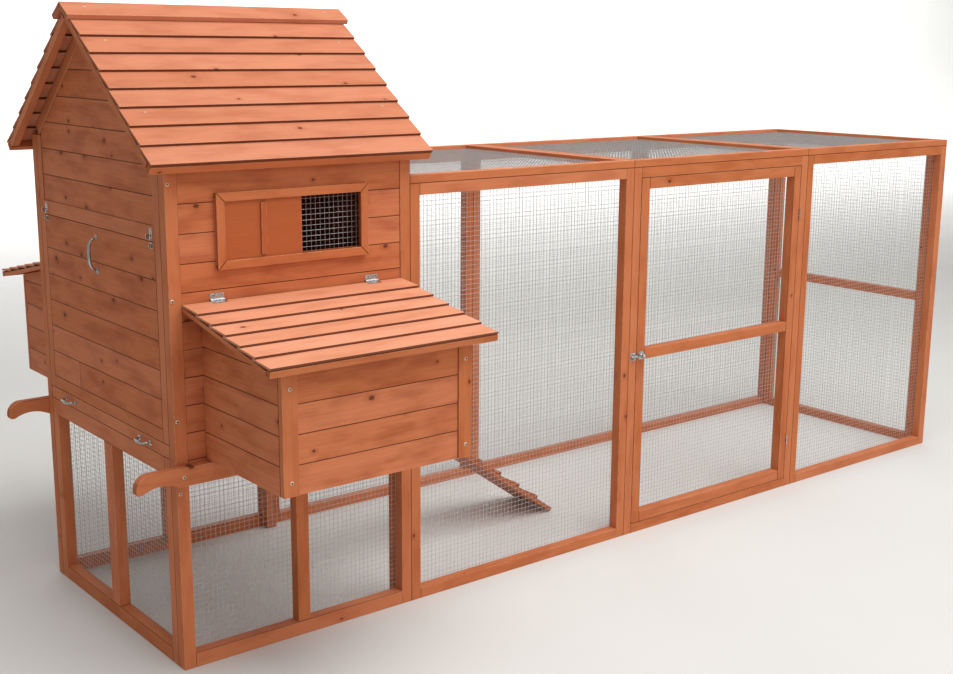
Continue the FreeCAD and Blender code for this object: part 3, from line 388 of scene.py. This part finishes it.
def grain_axes(bm):
    """The directions along, across and through a board."""
    longest = max(bm.edges, key=lambda edge: edge.calc_length())
    along = (longest.verts[0].co - longest.verts[1].co).normalized()
    if max(along, key=abs) < 0:
        along = -along
    widest = max(bm.faces, key=lambda face: face.calc_area())
    through = widest.normal.copy()
    through = (through - along * through.dot(along)).normalized()
    return along, through.cross(along), through


def rebuild_board(target, points, faces, own, ease, luck, lapped=False):
    """Add one board with eased edges and its marks to the target mesh."""
    bm = bmesh.new()
    corners = [bm.verts.new(point) for point in points]
    for face in faces:
        bm.faces.new([corners[corner] for corner in face])
    bm.normal_update()
    bmesh.ops.dissolve_limit(bm, angle_limit=LEVEL, verts=bm.verts[:], edges=bm.edges[:])
    bm.normal_update()
    along, across, through = grain_axes(bm)
    sharp = [edge for edge in bm.edges if len(edge.link_faces) == 2 and edge.calc_face_angle() > SHARP]
    rounded = bmesh.ops.bevel(bm, geom=sharp, offset=ease, segments=2, profile=0.55, affect="EDGES",
                              clamp_overlap=True)
    eased = set(rounded["faces"])
    bm.normal_update()
    shift = Vector((luck.uniform(0, 40), luck.uniform(-3, 3), luck.uniform(-3, 3)))
    tone = luck.random()
    middle = sum((vert.co for vert in bm.verts), Vector()) / len(bm.verts)
    new = {}
    for vert in bm.verts:
        made = target.verts.new(vert.co)
        step = vert.co - middle
        made[target.verts.layers.float_vector["grain"]] = Vector((step.dot(along), step.dot(across),
                                                                  step.dot(through))) + shift
        new[vert] = made
    for face in bm.faces:
        made = target.faces.new([new[vert] for vert in face.verts])
        normal = face.normal
        is_eased = face in eased
        # Eased faces that touch another board are marked for painted joint shade.
        joint = beside_another(face.calc_center_median(), normal, own) if is_eased else False
        end = abs(normal.dot(along)) > END_GRAIN
        # The long edges of lapped roof and lid boards get the same mark: painted shadow under each lap.
        joint = joint or (lapped and abs(normal.dot(across)) > END_GRAIN)
        made[target.faces.layers.float_vector["marks"]] = (is_eased and not joint, joint, end)
        made[target.faces.layers.float["tone"]] = tone
    bm.free()


def rebuild_wood(node, material, ease=0.0011):
    """Stand detailed boards in for one CAD part."""
    luck = random.Random(node)
    target = bmesh.new()
    target.verts.layers.float_vector.new("grain")
    target.faces.layers.float_vector.new("marks")
    target.faces.layers.float.new("tone")
    for place, (points, faces) in enumerate(wood_solids[node]):
        rebuild_board(target, points, faces, (node, place), ease, luck, node in LAPPED_NODES)
    mesh = bpy.data.meshes.new(node + "_wood")
    target.to_mesh(mesh)
    target.free()
    return stand_in(node + "_wood", mesh, material, node)


def new_piece(name, mesh, material, body):
    """Put a mesh in the scene as a piece of the coop."""
    mesh.materials.append(material)
    piece = bpy.data.objects.new(name, mesh)
    bpy.context.scene.collection.objects.link(piece)
    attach(piece, body)
    return piece


def stand_in(name, mesh, material, node):
    piece = new_piece(name, mesh, material, body_of_node[node])
    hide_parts(node)
    return piece


BOARD_NODES = ("front_wall_boards", "back_wall_boards", "left_gable_boards", "right_wall_boards",
               "access_door_boards", "nest_front_boards", "nest_back_boards", "pop_door", "ramp_board",
               "nest_front_inside", "nest_back_inside")


def finish_for(node):
    if slot_of_node[node] == "roof_fir":
        return lid_fir_painted_light if node.startswith("lid") else shingle_fir
    if node == "window_shutter":
        return shutter_ply
    return wall_fir if node in BOARD_NODES else frame_fir


for node in wood_nodes:
    piece = rebuild_wood(node, finish_for(node))

# %% [markdown]
# ## Welded wire
#
# The panels are galvanised wire, welded into half inch squares: straight wires one way
# on one side, and across them on the other. A see-through picture of a grid would be
# lighter, but it has no thickness and no glint. Straight wires need only six sides and
# two ends, so real ones are cheap enough: CAD's thin sheet says where each panel ends.

# %% Wire grids
SQUARE = 0.0127
GAUGE = 0.0009
SIDES = 6


def wires(low, high, run, step, thin, layer):
    """Points and faces of the parallel wires of one panel."""
    spare = high[step] - low[step]
    count = int(spare / SQUARE)
    first = low[step] + (spare - count * SQUARE) / 2
    level = (low[thin] + high[thin]) / 2 + layer * GAUGE / 2
    turns = [2 * math.pi * (side + 0.5) / SIDES for side in range(SIDES)]
    points, faces = [], []
    for place in range(count + 1):
        base = len(points)
        for end in (low[run], high[run]):
            for turn in turns:
                point = [0.0, 0.0, 0.0]
                point[run] = end
                point[step] = first + place * SQUARE + math.cos(turn) * GAUGE / 2
                point[thin] = level + math.sin(turn) * GAUGE / 2
                points.append(point)
        faces.append([base + side for side in range(SIDES)][::-1])
        faces.append([base + SIDES + side for side in range(SIDES)])
        for side in range(SIDES):
            after = (side + 1) % SIDES
            faces.append([base + side, base + after, base + SIDES + after, base + SIDES + side])
    return points, faces


def make_zinc_bloom():
    """Dull and bright patches that zinc grows as it weathers."""
    tree, start, end = shader_group(
        "Zinc bloom",
        [("Place", "Vector", None), ("Bright", "Color", grey(0.8)), ("Dull", "Color", grey(0.4)),
         ("Patch size", "Float", 60.0), ("Smooth", "Float", 0.25), ("Matt", "Float", 0.5)],
        [("Color", "Color"), ("Roughness", "Float"), ("Height", "Float")])
    place = start.outputs["Place"]
    patches = add(tree, "TexVoronoi", {"Vector": place, "Scale": start.outputs["Patch size"]}).outputs
    cell = add(tree, "SeparateColor", {0: patches["Color"]}).outputs[0]
    haze = add(tree, "TexNoise", {"Vector": place, "Scale": 140.0, "Detail": 4.0}).outputs[0]
    mixed = maths(tree, "MULTIPLY_ADD", cell, 0.45, maths(tree, "MULTIPLY", haze, 0.6), clamp=True)
    zinc = blend_colours(tree, mixed, start.outputs["Bright"], start.outputs["Dull"])
    tree.links.new(zinc, end.inputs["Color"])
    rough = spread(tree, mixed, 0.1, 0.9, start.outputs["Smooth"], start.outputs["Matt"])
    tree.links.new(rough, end.inputs["Roughness"])
    tree.links.new(haze, end.inputs["Height"])
    return tree


zinc_bloom = make_zinc_bloom()


# Near-black painted shade for screw slots, the knob's centre and the pin ends.
RECESS_SHADE = (0.02, 0.018, 0.016, 1)


def zinc_material(name, bright, dull, patch, smooth, matt, metal=1.0, bump=0.08):
    material, tree, shader = new_material(name)
    place = add(tree, "TexCoord").outputs["Object"]
    bloom = place_group(tree, zinc_bloom, {"Place": place, "Bright": bright, "Dull": dull,
                                           "Patch size": patch, "Smooth": smooth, "Matt": matt})
    relief = add(tree, "Bump", {"Height": bloom["Height"], "Strength": bump, "Distance": 0.0003})
    # Marked faces are painted with that dark shade.
    with_recess_shade = blend_colours(tree, read_attribute(tree, "recess", "Fac"), bloom["Color"], RECESS_SHADE)
    tree.links.new(with_recess_shade, shader.inputs["Base Color"])
    tree.links.new(bloom["Roughness"], shader.inputs["Roughness"])
    tree.links.new(relief.outputs[0], shader.inputs["Normal"])
    shader.inputs["Metallic"].default_value = metal
    return material


wire_zinc = zinc_material("Galvanised wire", grey(0.60), grey(0.38), 90.0, 0.34, 0.5, metal=0.6)
plated_zinc = zinc_material("Zinc plate", grey(0.66), grey(0.30), 260.0, 0.10, 0.32, bump=0.2)
sheet_zinc = zinc_material("Galvanised sheet", grey(0.58), grey(0.40), 42.0, 0.3, 0.5)
screw_zinc = zinc_material("Screw zinc", (0.86, 0.66, 0.50, 1), (0.70, 0.50, 0.36, 1), 300.0, 0.35, 0.5,
                           metal=0.3)


def wire_panels(node):
    all_points, all_faces = [], []
    for points, _ in solids_of(node):
        low, high = box_of(points)
        size = high - low
        thin = min(range(3), key=lambda axis: size[axis])
        u, v = [axis for axis in range(3) if axis != thin]
        for run, step, layer in ((u, v, -1), (v, u, 1)):
            made, faces = wires(low, high, run, step, thin, layer)
            base = len(all_points)
            all_points += made
            all_faces += [[base + corner for corner in face] for face in faces]
    mesh = bpy.data.meshes.new(node + "_wires")
    mesh.from_pydata(all_points, [], all_faces)
    bm = bmesh.new()
    bm.from_mesh(mesh)
    bmesh.ops.recalc_face_normals(bm, faces=bm.faces[:])
    bm.to_mesh(mesh)
    bm.free()
    return stand_in(node + "_wires", mesh, wire_zinc, node)


wire_nodes = [node for node in frame["nodes"] if slot_of_node[node] == WIRE_SLOT]
grids = [wire_panels(node) for node in wire_nodes]
print(sum(len(grid.data.polygons) for grid in grids) // (SIDES + 2), "wires in", len(grids), "parts")

# %% [markdown]
# ## Tools for small metalwork
#
# Catches, hinges and pulls are pressed plates, turned knobs and bent rod, held by small
# screws. Each tool below adds one such shape to a part. A shape is drawn lying flat:
# x to the right, y up the part and z out towards the viewer, in metres. A matrix from
# `facing` then carries it to its place on the coop.

# %% Metalworking tools
ROUND = 20
ARRIS = 0.00025


def facing(place, out, up):
    """The matrix for a part at a place, its face turned outwards."""
    out, up = Vector(out).normalized(), Vector(up).normalized()
    turn = Matrix((up.cross(out), up, out)).transposed()
    return Matrix.Translation(place) @ turn.to_4x4()


def new_metal():
    target = bmesh.new()
    target.faces.layers.float.new("recess")
    return target


def pour(target, part, at, dark=None):
    """Add a small mesh at its place. Faces listed as dark are painted with shade, as in screw recesses and at
    pin ends.
    """
    recess = target.faces.layers.float["recess"]
    carried = {vert: target.verts.new(at @ vert.co) for vert in part.verts}
    for face in part.faces:
        made = target.faces.new([carried[vert] for vert in face.verts])
        made.smooth = face.smooth
        made[recess] = 1.0 if dark and face in dark else 0.0
    part.free()


def ease_edges(part, width, segments=2):
    sharp = [edge for edge in part.edges if len(edge.link_faces) == 2 and edge.calc_face_angle() > SHARP]
    bmesh.ops.bevel(part, geom=sharp, offset=width, segments=segments, profile=0.5, affect="EDGES",
                    clamp_overlap=True)


def plate(target, at, low, high, corner, arris=ARRIS):
    """A pressed plate with round corners."""
    part = bmesh.new()
    low, high = Vector(low), Vector(high)
    size = high - low
    scale = Matrix.Diagonal((size.x, size.y, size.z, 1.0))
    bmesh.ops.create_cube(part, size=1.0, matrix=Matrix.Translation((low + high) / 2) @ scale)
    thin = min(range(3), key=lambda axis: size[axis])
    upright = [edge for edge in part.edges
               if abs((edge.verts[0].co - edge.verts[1].co)[thin]) > size[thin] / 2]
    bmesh.ops.bevel(part, geom=upright, offset=corner, segments=5, profile=0.5, affect="EDGES",
                    clamp_overlap=True)
    part.normal_update()
    ease_edges(part, arris)
    pour(target, part, at)


def turned(target, at, profile, dark=0):
    """A round part from (height, radius) steps. Its last rings can be painted dark as the shade of a hollow.
    """
    part = bmesh.new()
    rings = []
    for height, radius in profile:
        rings.append([part.verts.new((radius * math.cos(2 * math.pi * side / ROUND),
                                      radius * math.sin(2 * math.pi * side / ROUND), height))
                      for side in range(ROUND)])
    shaded = []
    for step, (lower, upper) in enumerate(zip(rings, rings[1:])):
        for side in range(ROUND):
            after = (side + 1) % ROUND
            face = part.faces.new((lower[side], lower[after], upper[after], upper[side]))
            face.smooth = True
            if step >= len(rings) - 1 - dark:
                shaded.append(face)
    part.faces.new(rings[0][::-1])
    top = part.faces.new(rings[-1])
    if dark:
        shaded.append(top)
    pour(target, part, at, set(shaded))


def bent_rod(target, at, path, radii):
    """A round rod along a path in the plane x = 0."""
    part = bmesh.new()
    rings = []
    for step, (point, radius) in enumerate(zip(path, radii)):
        before, after = path[max(step - 1, 0)], path[min(step + 1, len(path) - 1)]
        ahead = (after - before).normalized()
        side = Vector((1, 0, 0))
        rise = ahead.cross(side)
        rings.append([part.verts.new(point + (side * math.cos(turn) + rise * math.sin(turn)) * radius)
                      for turn in [2 * math.pi * place / 12 for place in range(12)]])
    for lower, upper in zip(rings, rings[1:]):
        for place in range(12):
            after = (place + 1) % 12
            part.faces.new((lower[place], lower[after], upper[after], upper[place])).smooth = True
    part.faces.new(rings[0][::-1])
    part.faces.new(rings[-1])
    bmesh.ops.recalc_face_normals(part, faces=part.faces[:])
    pour(target, part, at)


def screw(target, at, x, y, z, radius):
    """A domed screw head with its cross slot painted dark as shade."""
    here = at @ Matrix.Translation((x, y, z))
    turned(target, here, [(0, radius), (radius * 0.16, radius * 0.97), (radius * 0.34, radius * 0.7),
                          (radius * 0.42, radius * 0.36)])
    for long, wide in ((0.62, 0.17), (0.17, 0.62)):
        part = bmesh.new()
        scale = Matrix.Diagonal((2 * long * radius, 2 * wide * radius, radius * 0.3, 1.0))
        bmesh.ops.create_cube(part, size=1.0, matrix=Matrix.Translation((0, 0, radius * 0.30)) @ scale)
        pour(target, part, here, set(part.faces))


def finish_metal(node, target, material):
    mesh = bpy.data.meshes.new(node + "_detail")
    target.to_mesh(mesh)
    target.free()
    return stand_in(node + "_detail", mesh, material, node)


print("tools: plate, turned, bent rod, screw")

# %% [markdown]
# ## Pulls
#
# A pull is a bow of rod, flat across the top and thickest in the middle, with a round
# foot plate under each end and one screw beside the rod. The door has a tall one, and
# the tray has two that lie level.

# %% Bow pulls
BOW_SHAPE = 2 / 2.8
BOW_STEPS = 26


def bow_pull(target, at, length, rise, width):
    reach = length / 2
    foot = reach - 0.0105
    path, radii = [], []
    for step in range(BOW_STEPS + 1):
        turn = math.pi * step / BOW_STEPS
        across = math.copysign(abs(math.cos(turn)) ** BOW_SHAPE, math.cos(turn))
        out = abs(math.sin(turn)) ** BOW_SHAPE
        path.append(Vector((0, -foot * across, 0.001 + (rise - 0.0052) * out)))
        radii.append(0.0026 + 0.0014 * math.sin(turn) ** 2)
    bent_rod(target, at, path, radii)
    for side in (-1, 1):
        near, far = sorted((side * reach, side * (foot - 0.0045)))
        plate(target, at, (-width / 2, near, 0), (width / 2, far, 0.0014), width * 0.42)
        turned(target, at @ Matrix.Translation((0, side * foot, 0)),
               [(0.001, 0.0042), (0.0026, 0.0036), (0.0040, 0.0022)])
        screw(target, at, 0, side * (reach - 0.0040), 0.0013, 0.0021)


def pulls(node, up):
    target = new_metal()
    for points, _ in solids_of(node):
        low, high = box_of(points)
        middle = (low + high) / 2
        along = max(range(3), key=lambda axis: high[axis] - low[axis])
        across = 3 - along
        at = facing((high.x, middle.y, middle.z), (-1, 0, 0), up)
        bow_pull(target, at, high[along] - low[along], high.x - low.x, high[across] - low[across])
    return finish_metal(node, target, plated_zinc)


pulls("access_door_handle", (0, 0, 1))
pulls("tray_handles", (0, 1, 0))
print("one door pull and two tray pulls")

# %% [markdown]
# ## Catches of the access door
#
# Each catch is a pressed plate on the post with a thumb turn on a boss. Its tongue turns
# down in front of the strike, a small plate on the door with two prongs that steady it.

# %% Catches
CATCH_PIVOT_UP = 0.008


def catch_plate_detail(target, points):
    low, high = box_of(points)
    pivot = Vector((high.x, (low.y + high.y) / 2, low.z + CATCH_PIVOT_UP))
    at = facing(pivot, (-1, 0, 0), (0, 0, 1))
    half = (high.y - low.y) / 2
    plate(target, at, (-half, low.z - pivot.z, 0), (half, high.z - pivot.z, 0.0014), 0.0034)
    turned(target, at, [(0.001, 0.0066), (0.0018, 0.0062), (0.0023, 0.0040)])
    for rise in (0.0095, 0.0163):
        screw(target, at, 0, rise, 0.0013, 0.0021)


def catch_turn_detail(node):
    target = new_metal()
    for points, _ in solids_of(node):
        low, high = box_of(points)
        middle = (low.y + high.y) / 2
        at = facing((high.x, middle, low.z + CATCH_PIVOT_UP), (-1, 0, 0), (0, 0, 1))
        turned(target, at, [(0.0, 0.0048), (0.0022, 0.0050), (0.0036, 0.0045), (0.0046, 0.0030)])
        plate(target, at, (-0.0038, -0.0080, 0.0002), (0.0038, 0.0020, 0.0024), 0.0030)
        plate(target, at, (-0.0013, -0.0042, 0.0030), (0.0013, 0.0078, high.x - low.x), 0.0042, 0.0006)
        # The dark disc on the boss is painted shade.
        turned(target, at @ Matrix.Translation((0, 0, 0.0044)), [(0, 0.0016), (0.0005, 0.0014)], dark=1)
    return finish_metal(node, target, plated_zinc)


def strikes(node):
    target = new_metal()
    for points, _ in solids_of(node):
        low, high = box_of(points)
        at = facing((high.x, (low.y + high.y) / 2, high.z), (-1, 0, 0), (0, 0, 1))
        half, tall = (high.y - low.y) / 2, high.z - low.z
        plate(target, at, (-half, -tall, 0), (half, 0, 0.001), 0.0025)
        for side in (-1, 1):
            left, right = sorted((side * 0.0026, side * 0.0050))
            plate(target, at, (left, -0.0120, 0.0008), (right, -0.0030, high.x - low.x), 0.0016, 0.0005)
        for rise in (-0.0028, -0.0112):
            screw(target, at, 0, rise, 0.0009, 0.0016)
    return finish_metal(node, target, plated_zinc)


catch_turn_detail("catch_turn_front")
catch_turn_detail("catch_turn_back")
strikes("access_door_fittings")
print("two catches and their strikes")

# %% [markdown]
# ## Hinges and the run latch
#
# CAD already has each hinge half as a leaf with its knuckles. It gets eased edges, two
# screws on the leaf's open face, and a small stub at each end of the pin painted with the
# same dark shade as the screw slots. The latch on the run door has rounded plates, a
# lever and a round knob.

# %% Hinges and latch
joint_of = {joint["name"]: joint for joint in record["behaviour"]["joints"]}


def eased_solid(target, points, faces, width):
    part = bmesh.new()
    corners = [part.verts.new(point) for point in points]
    for face in faces:
        part.faces.new([corners[corner] for corner in face])
    part.normal_update()
    bmesh.ops.dissolve_limit(part, angle_limit=LEVEL, verts=part.verts[:], edges=part.edges[:])
    part.normal_update()
    ease_edges(part, width)
    pour(target, part, Matrix.Identity(4))


def open_face(points, faces, towards):
    """Centre, normal and long edge of the largest face that looks towards a direction."""
    best, found = 0.0, None
    for face in faces:
        corners = [points[corner] for corner in face]
        middle = sum(corners, Vector()) / len(corners)
        sides = list(zip(corners, corners[1:] + corners[:1]))
        area = sum(((a - middle).cross(b - middle) for a, b in sides), Vector())
        if area.normalized().dot(towards) > 0.5 and area.length > best:
            edge = max((b - a for a, b in sides), key=lambda step: step.length)
            best, found = area.length, (middle, area.normalized(), edge)
    return found


def hinge_half(target, points, faces, towards):
    eased_solid(target, points, faces, 0.0003)
    middle, out, edge = open_face(points, faces, Vector(towards).normalized())
    at = facing(middle, out, out.cross(edge.normalized()))
    for side in (-1, 1):
        screw(target, at, side * edge.length * 0.30, 0, -0.0001, 0.0024)


def pin_ends(target, points, joint):
    low, high = box_of(points)
    axis = max(range(3), key=lambda way: abs(joint["axis"][way]))
    for end, way in ((low, -1), (high, 1)):
        place = Vector(joint["pos_m"])
        place[axis] = end[axis] - way * 0.0003
        out = Vector((0, 0, 0))
        out[axis] = way
        up = Vector((0, 0, 1)) if axis != 2 else Vector((0, 1, 0))
        turned(target, facing(place, out, up), [(0, 0.0013), (0.0006, 0.0012)], dark=1)


def nearest_joint(points):
    low, high = box_of(points)
    middle = (low + high) / 2

    def gap(joint):
        away = middle - Vector(joint["pos_m"])
        axis = Vector(joint["axis"])
        return (away - axis * away.dot(axis)).length

    return min((joint_of[name] for name in OPEN_SIDE), key=gap)


OPEN_SIDE = {"lid_front_hinge": (0, -1, 0), "lid_back_hinge": (0, 1, 0), "run_door_hinge": (0, -1, 0),
             "ramp_hinge": (1, 0, 0)}
MOVING_LEAVES = {"lid_front_hinges": (0, 0, 1), "lid_back_hinges": (0, 0, 1), "ramp_hinges": (1, 0, 1)}
target = new_metal()
for points, faces in solids_of("fixed_hinge_halves"):
    joint = nearest_joint(points)
    hinge_half(target, points, faces, OPEN_SIDE[joint["name"]])
    pin_ends(target, points, joint)
finish_metal("fixed_hinge_halves", target, plated_zinc)
for node, towards in MOVING_LEAVES.items():
    target = new_metal()
    for points, faces in solids_of(node):
        hinge_half(target, points, faces, towards)
    finish_metal(node, target, plated_zinc)

latch = Vector(joint_of["run_latch_turn"]["pos_m"])
LATCH_CORNER = 0.007
PRESSED_DEEPEST = 0.002
KEEPER_DEEPEST = 0.010
target = new_metal()
for points, faces in solids_of("run_door_fittings"):
    low, high = box_of(points)
    if high.y - low.y < PRESSED_DEEPEST:
        at = facing((latch.x, high.y, latch.z), (0, -1, 0), (0, 0, 1))
        plate(target, at, (low.x - latch.x, low.z - latch.z, 0),
              (high.x - latch.x, high.z - latch.z, 0.0014), LATCH_CORNER)
        for side in (-1, 1):
            screw(target, at, 0.0055, side * 0.0082, 0.0013, 0.0020)
    else:
        hinge_half(target, points, faces, (0, -1, 0))
finish_metal("run_door_fittings", target, plated_zinc)

target = new_metal()
for points, faces in solids_of("run_latch_turn"):
    low, high = box_of(points)
    at = facing((latch.x, high.y, latch.z), (0, -1, 0), (0, 0, 1))
    plate(target, at, (low.x - latch.x, -0.0042, 0.0002), (0.0046, 0.0042, 0.0026), 0.0041, 0.0005)
    turned(target, at, [(0.0, 0.0066), (0.0030, 0.0062), (0.0042, 0.0044), (0.0072, 0.0036), (0.0098, 0.0052),
                        (0.0130, 0.0066), (high.y - low.y - 0.0008, 0.0058), (high.y - low.y, 0.0036)])
finish_metal("run_latch_turn", target, plated_zinc)

target = new_metal()
for points, faces in solids_of("catch_plates"):
    low, high = box_of(points)
    if high.y - low.y < KEEPER_DEEPEST and low.x > -1:
        eased_solid(target, points, faces, 0.0005)
        at = facing(((low.x + high.x) / 2, high.y - 0.0012, latch.z), (0, -1, 0), (0, 0, 1))
        for side in (-1, 1):
            screw(target, at, -0.0050, side * 0.0085, 0, 0.0019)
    else:
        catch_plate_detail(target, points)
finish_metal("catch_plates", target, plated_zinc)
print("eight hinges and the run latch")

# %% [markdown]
# ## Screws and the tray
#
# The posts and nest corners are held by screws whose heads show, and so are some of the
# roof boards. The tray is folded sheet. Its CAD solid already has the right shape, so
# it is copied with its sharp corners eased a little, which lets them catch the light.

# %% Screws and tray
target = new_metal()
for points, _ in solids_of("wood_screws"):
    low, high = box_of(points)
    middle = (low + high) / 2
    front = middle.y < 0
    wood = high.y if front else low.y
    at = facing((middle.x, wood, middle.z), (0, -1 if front else 1, 0), (0, 0, 1))
    screw(target, at, 0, 0, 0, (high.x - low.x) / 2)
finish_metal("wood_screws", target, screw_zinc)

SCREWED_ROWS = (2, 6)
VERGE_REACH = 0.055
ROOF_SCREW = 0.0036


def roof_screws():
    """Screws through chosen roof boards into the battens under both verges."""
    target = new_metal()
    for node in ("roof_front_boards", "roof_back_boards", "roof_ridge_cap"):
        found = solids_of(node)
        chosen = found if node == "roof_ridge_cap" else [found[row] for row in SCREWED_ROWS]
        for points, faces in chosen:
            middle = sum(points, Vector()) / len(points)
            slope = Vector((0, -1 if middle.y < 0 else 1, 1)).normalized()
            centre, out, edge = open_face(points, faces, slope)
            low, high = box_of(points)
            at = facing(centre, out, out.cross(Vector((1, 0, 0))))
            for end in (low.x + VERGE_REACH, high.x - VERGE_REACH):
                screw(target, at, (end - centre.x) * at.col[0].x, 0, -0.0001, ROOF_SCREW)
    mesh = bpy.data.meshes.new("roof_screws")
    target.to_mesh(mesh)
    target.free()
    return new_piece("roof_screws", mesh, screw_zinc, "coop")


roof_screws()

target = new_metal()
for points, faces in solids_of("tray_pan"):
    eased_solid(target, points, faces, 0.0004)
finish_metal("tray_pan", target, sheet_zinc)
print(len(solids_of("wood_screws")), "screw heads and the folded tray")

# %% [markdown]
# ## Stage, camera and light
#
# The coop stands on a plain pale floor that curves up behind it, as in a studio. One
# broad soft light overhead makes the roof the brightest face, a weaker one in front
# leaves the gable end in its own soft shade, and a third whitens the backdrop alone.
# The camera is at standing height off the front left corner, with a normal lens.

# %% Floor
FLOOR_DROP = 0.0005
FLOOR_FRONT, FLOOR_BACK, FLOOR_SIDE = -30.0, 14.0, 45.0
BEND, BEND_STEPS = 2.5, 16
BACKDROP_HEIGHT = 30.0


def make_floor():
    points, faces = [], []
    profile = [(FLOOR_FRONT, 0.0), (FLOOR_BACK, 0.0)]
    for step in range(1, BEND_STEPS + 1):
        turn = math.pi / 2 * step / BEND_STEPS
        profile.append((FLOOR_BACK + BEND * math.sin(turn), BEND - BEND * math.cos(turn)))
    profile.append((FLOOR_BACK + BEND, BACKDROP_HEIGHT))
    for y, z in profile:
        points += [(-FLOOR_SIDE, y, z - FLOOR_DROP), (FLOOR_SIDE, y, z - FLOOR_DROP)]
    for place in range(len(profile) - 1):
        faces.append((2 * place, 2 * place + 1, 2 * place + 3, 2 * place + 2))
    mesh = bpy.data.meshes.new("floor")
    mesh.from_pydata(points, [], faces)
    mesh.polygons.foreach_set("use_smooth", [True] * len(faces))
    floor = bpy.data.objects.new("floor", mesh)
    bpy.context.scene.collection.objects.link(floor)
    material, tree, shader = new_material("Pale floor")
    place = add(tree, "TexCoord").outputs["Object"]
    mottle = add(tree, "TexNoise", {"Vector": place, "Scale": 1.2, "Detail": 3.0}).outputs[0]
    tint = blend_colours(tree, mottle, (0.66, 0.66, 0.65, 1), (0.72, 0.72, 0.71, 1))
    tree.links.new(tint, shader.inputs["Base Color"])
    shader.inputs["Roughness"].default_value = 0.75
    mesh.materials.append(material)
    floor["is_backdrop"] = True
    return floor


make_floor()

# %% Camera
EYE = Vector((-2.7094, -3.0298, 1.4284))
YAW, PITCH, ROLL = math.radians(38.776), math.radians(-12.3445), math.radians(0.383)


def make_camera():
    ahead = Vector((math.sin(YAW) * math.cos(PITCH), math.cos(YAW) * math.cos(PITCH), math.sin(PITCH)))
    right = Vector((math.cos(YAW), -math.sin(YAW), 0))
    up = right.cross(ahead)
    tilted_right = right * math.cos(ROLL) + up * math.sin(ROLL)
    tilted_up = up * math.cos(ROLL) - right * math.sin(ROLL)
    turn = Matrix((tilted_right, tilted_up, -ahead)).transposed()
    data = bpy.data.cameras.new("camera")
    data.lens = 50.0
    data.sensor_width = 36.0
    data.clip_end = 100
    camera = bpy.data.objects.new("camera", data)
    camera.matrix_world = Matrix.Translation(EYE) @ turn.to_4x4()
    bpy.context.scene.collection.objects.link(camera)
    bpy.context.scene.camera = camera
    return camera


make_camera()
bpy.context.scene.view_settings.view_transform = "Standard"

# %% Lights


def area_light(name, place, aim, size, power, tint):
    data = bpy.data.lights.new(name, "AREA")
    data.shape = "RECTANGLE"
    data.size, data.size_y = size
    data.energy = power
    data.color = tint
    light = bpy.data.objects.new(name, data)
    light.location = place
    light.rotation_euler = (Vector(aim) - Vector(place)).to_track_quat("-Z", "Y").to_euler()
    bpy.context.scene.collection.objects.link(light)
    return light


area_light("overhead", (0.2, -2.0, 5.4), (-0.2, 0.0, 0.4), (5.5, 4.5), 300, (1.0, 0.985, 0.96))
area_light("front fill", (0.8, -6.5, 2.6), (0, 0, 0.6), (5.0, 3.0), 72, (1.0, 0.97, 0.94))
area_light("backdrop light", (13.0, 6.0, 9.0), (14.0, 16.0, 3.5), (28.0, 5.0), 4400, (1.0, 1.0, 1.0))
world = bpy.data.worlds.new("studio")
world.use_nodes = True
bpy.context.scene.world = world
world.node_tree.nodes["Background"].inputs["Color"].default_value = (1.0, 0.98, 0.95, 1)
world.node_tree.nodes["Background"].inputs["Strength"].default_value = 0.42

# %% Sizes and finish
made_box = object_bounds()
for name, axis in (("length", 0), ("depth", 1), ("height", 2)):
    before, after = [round(box[1][axis] - box[0][axis], 4) for box in (cad_box, made_box)]
    print(name, before, "->", after)
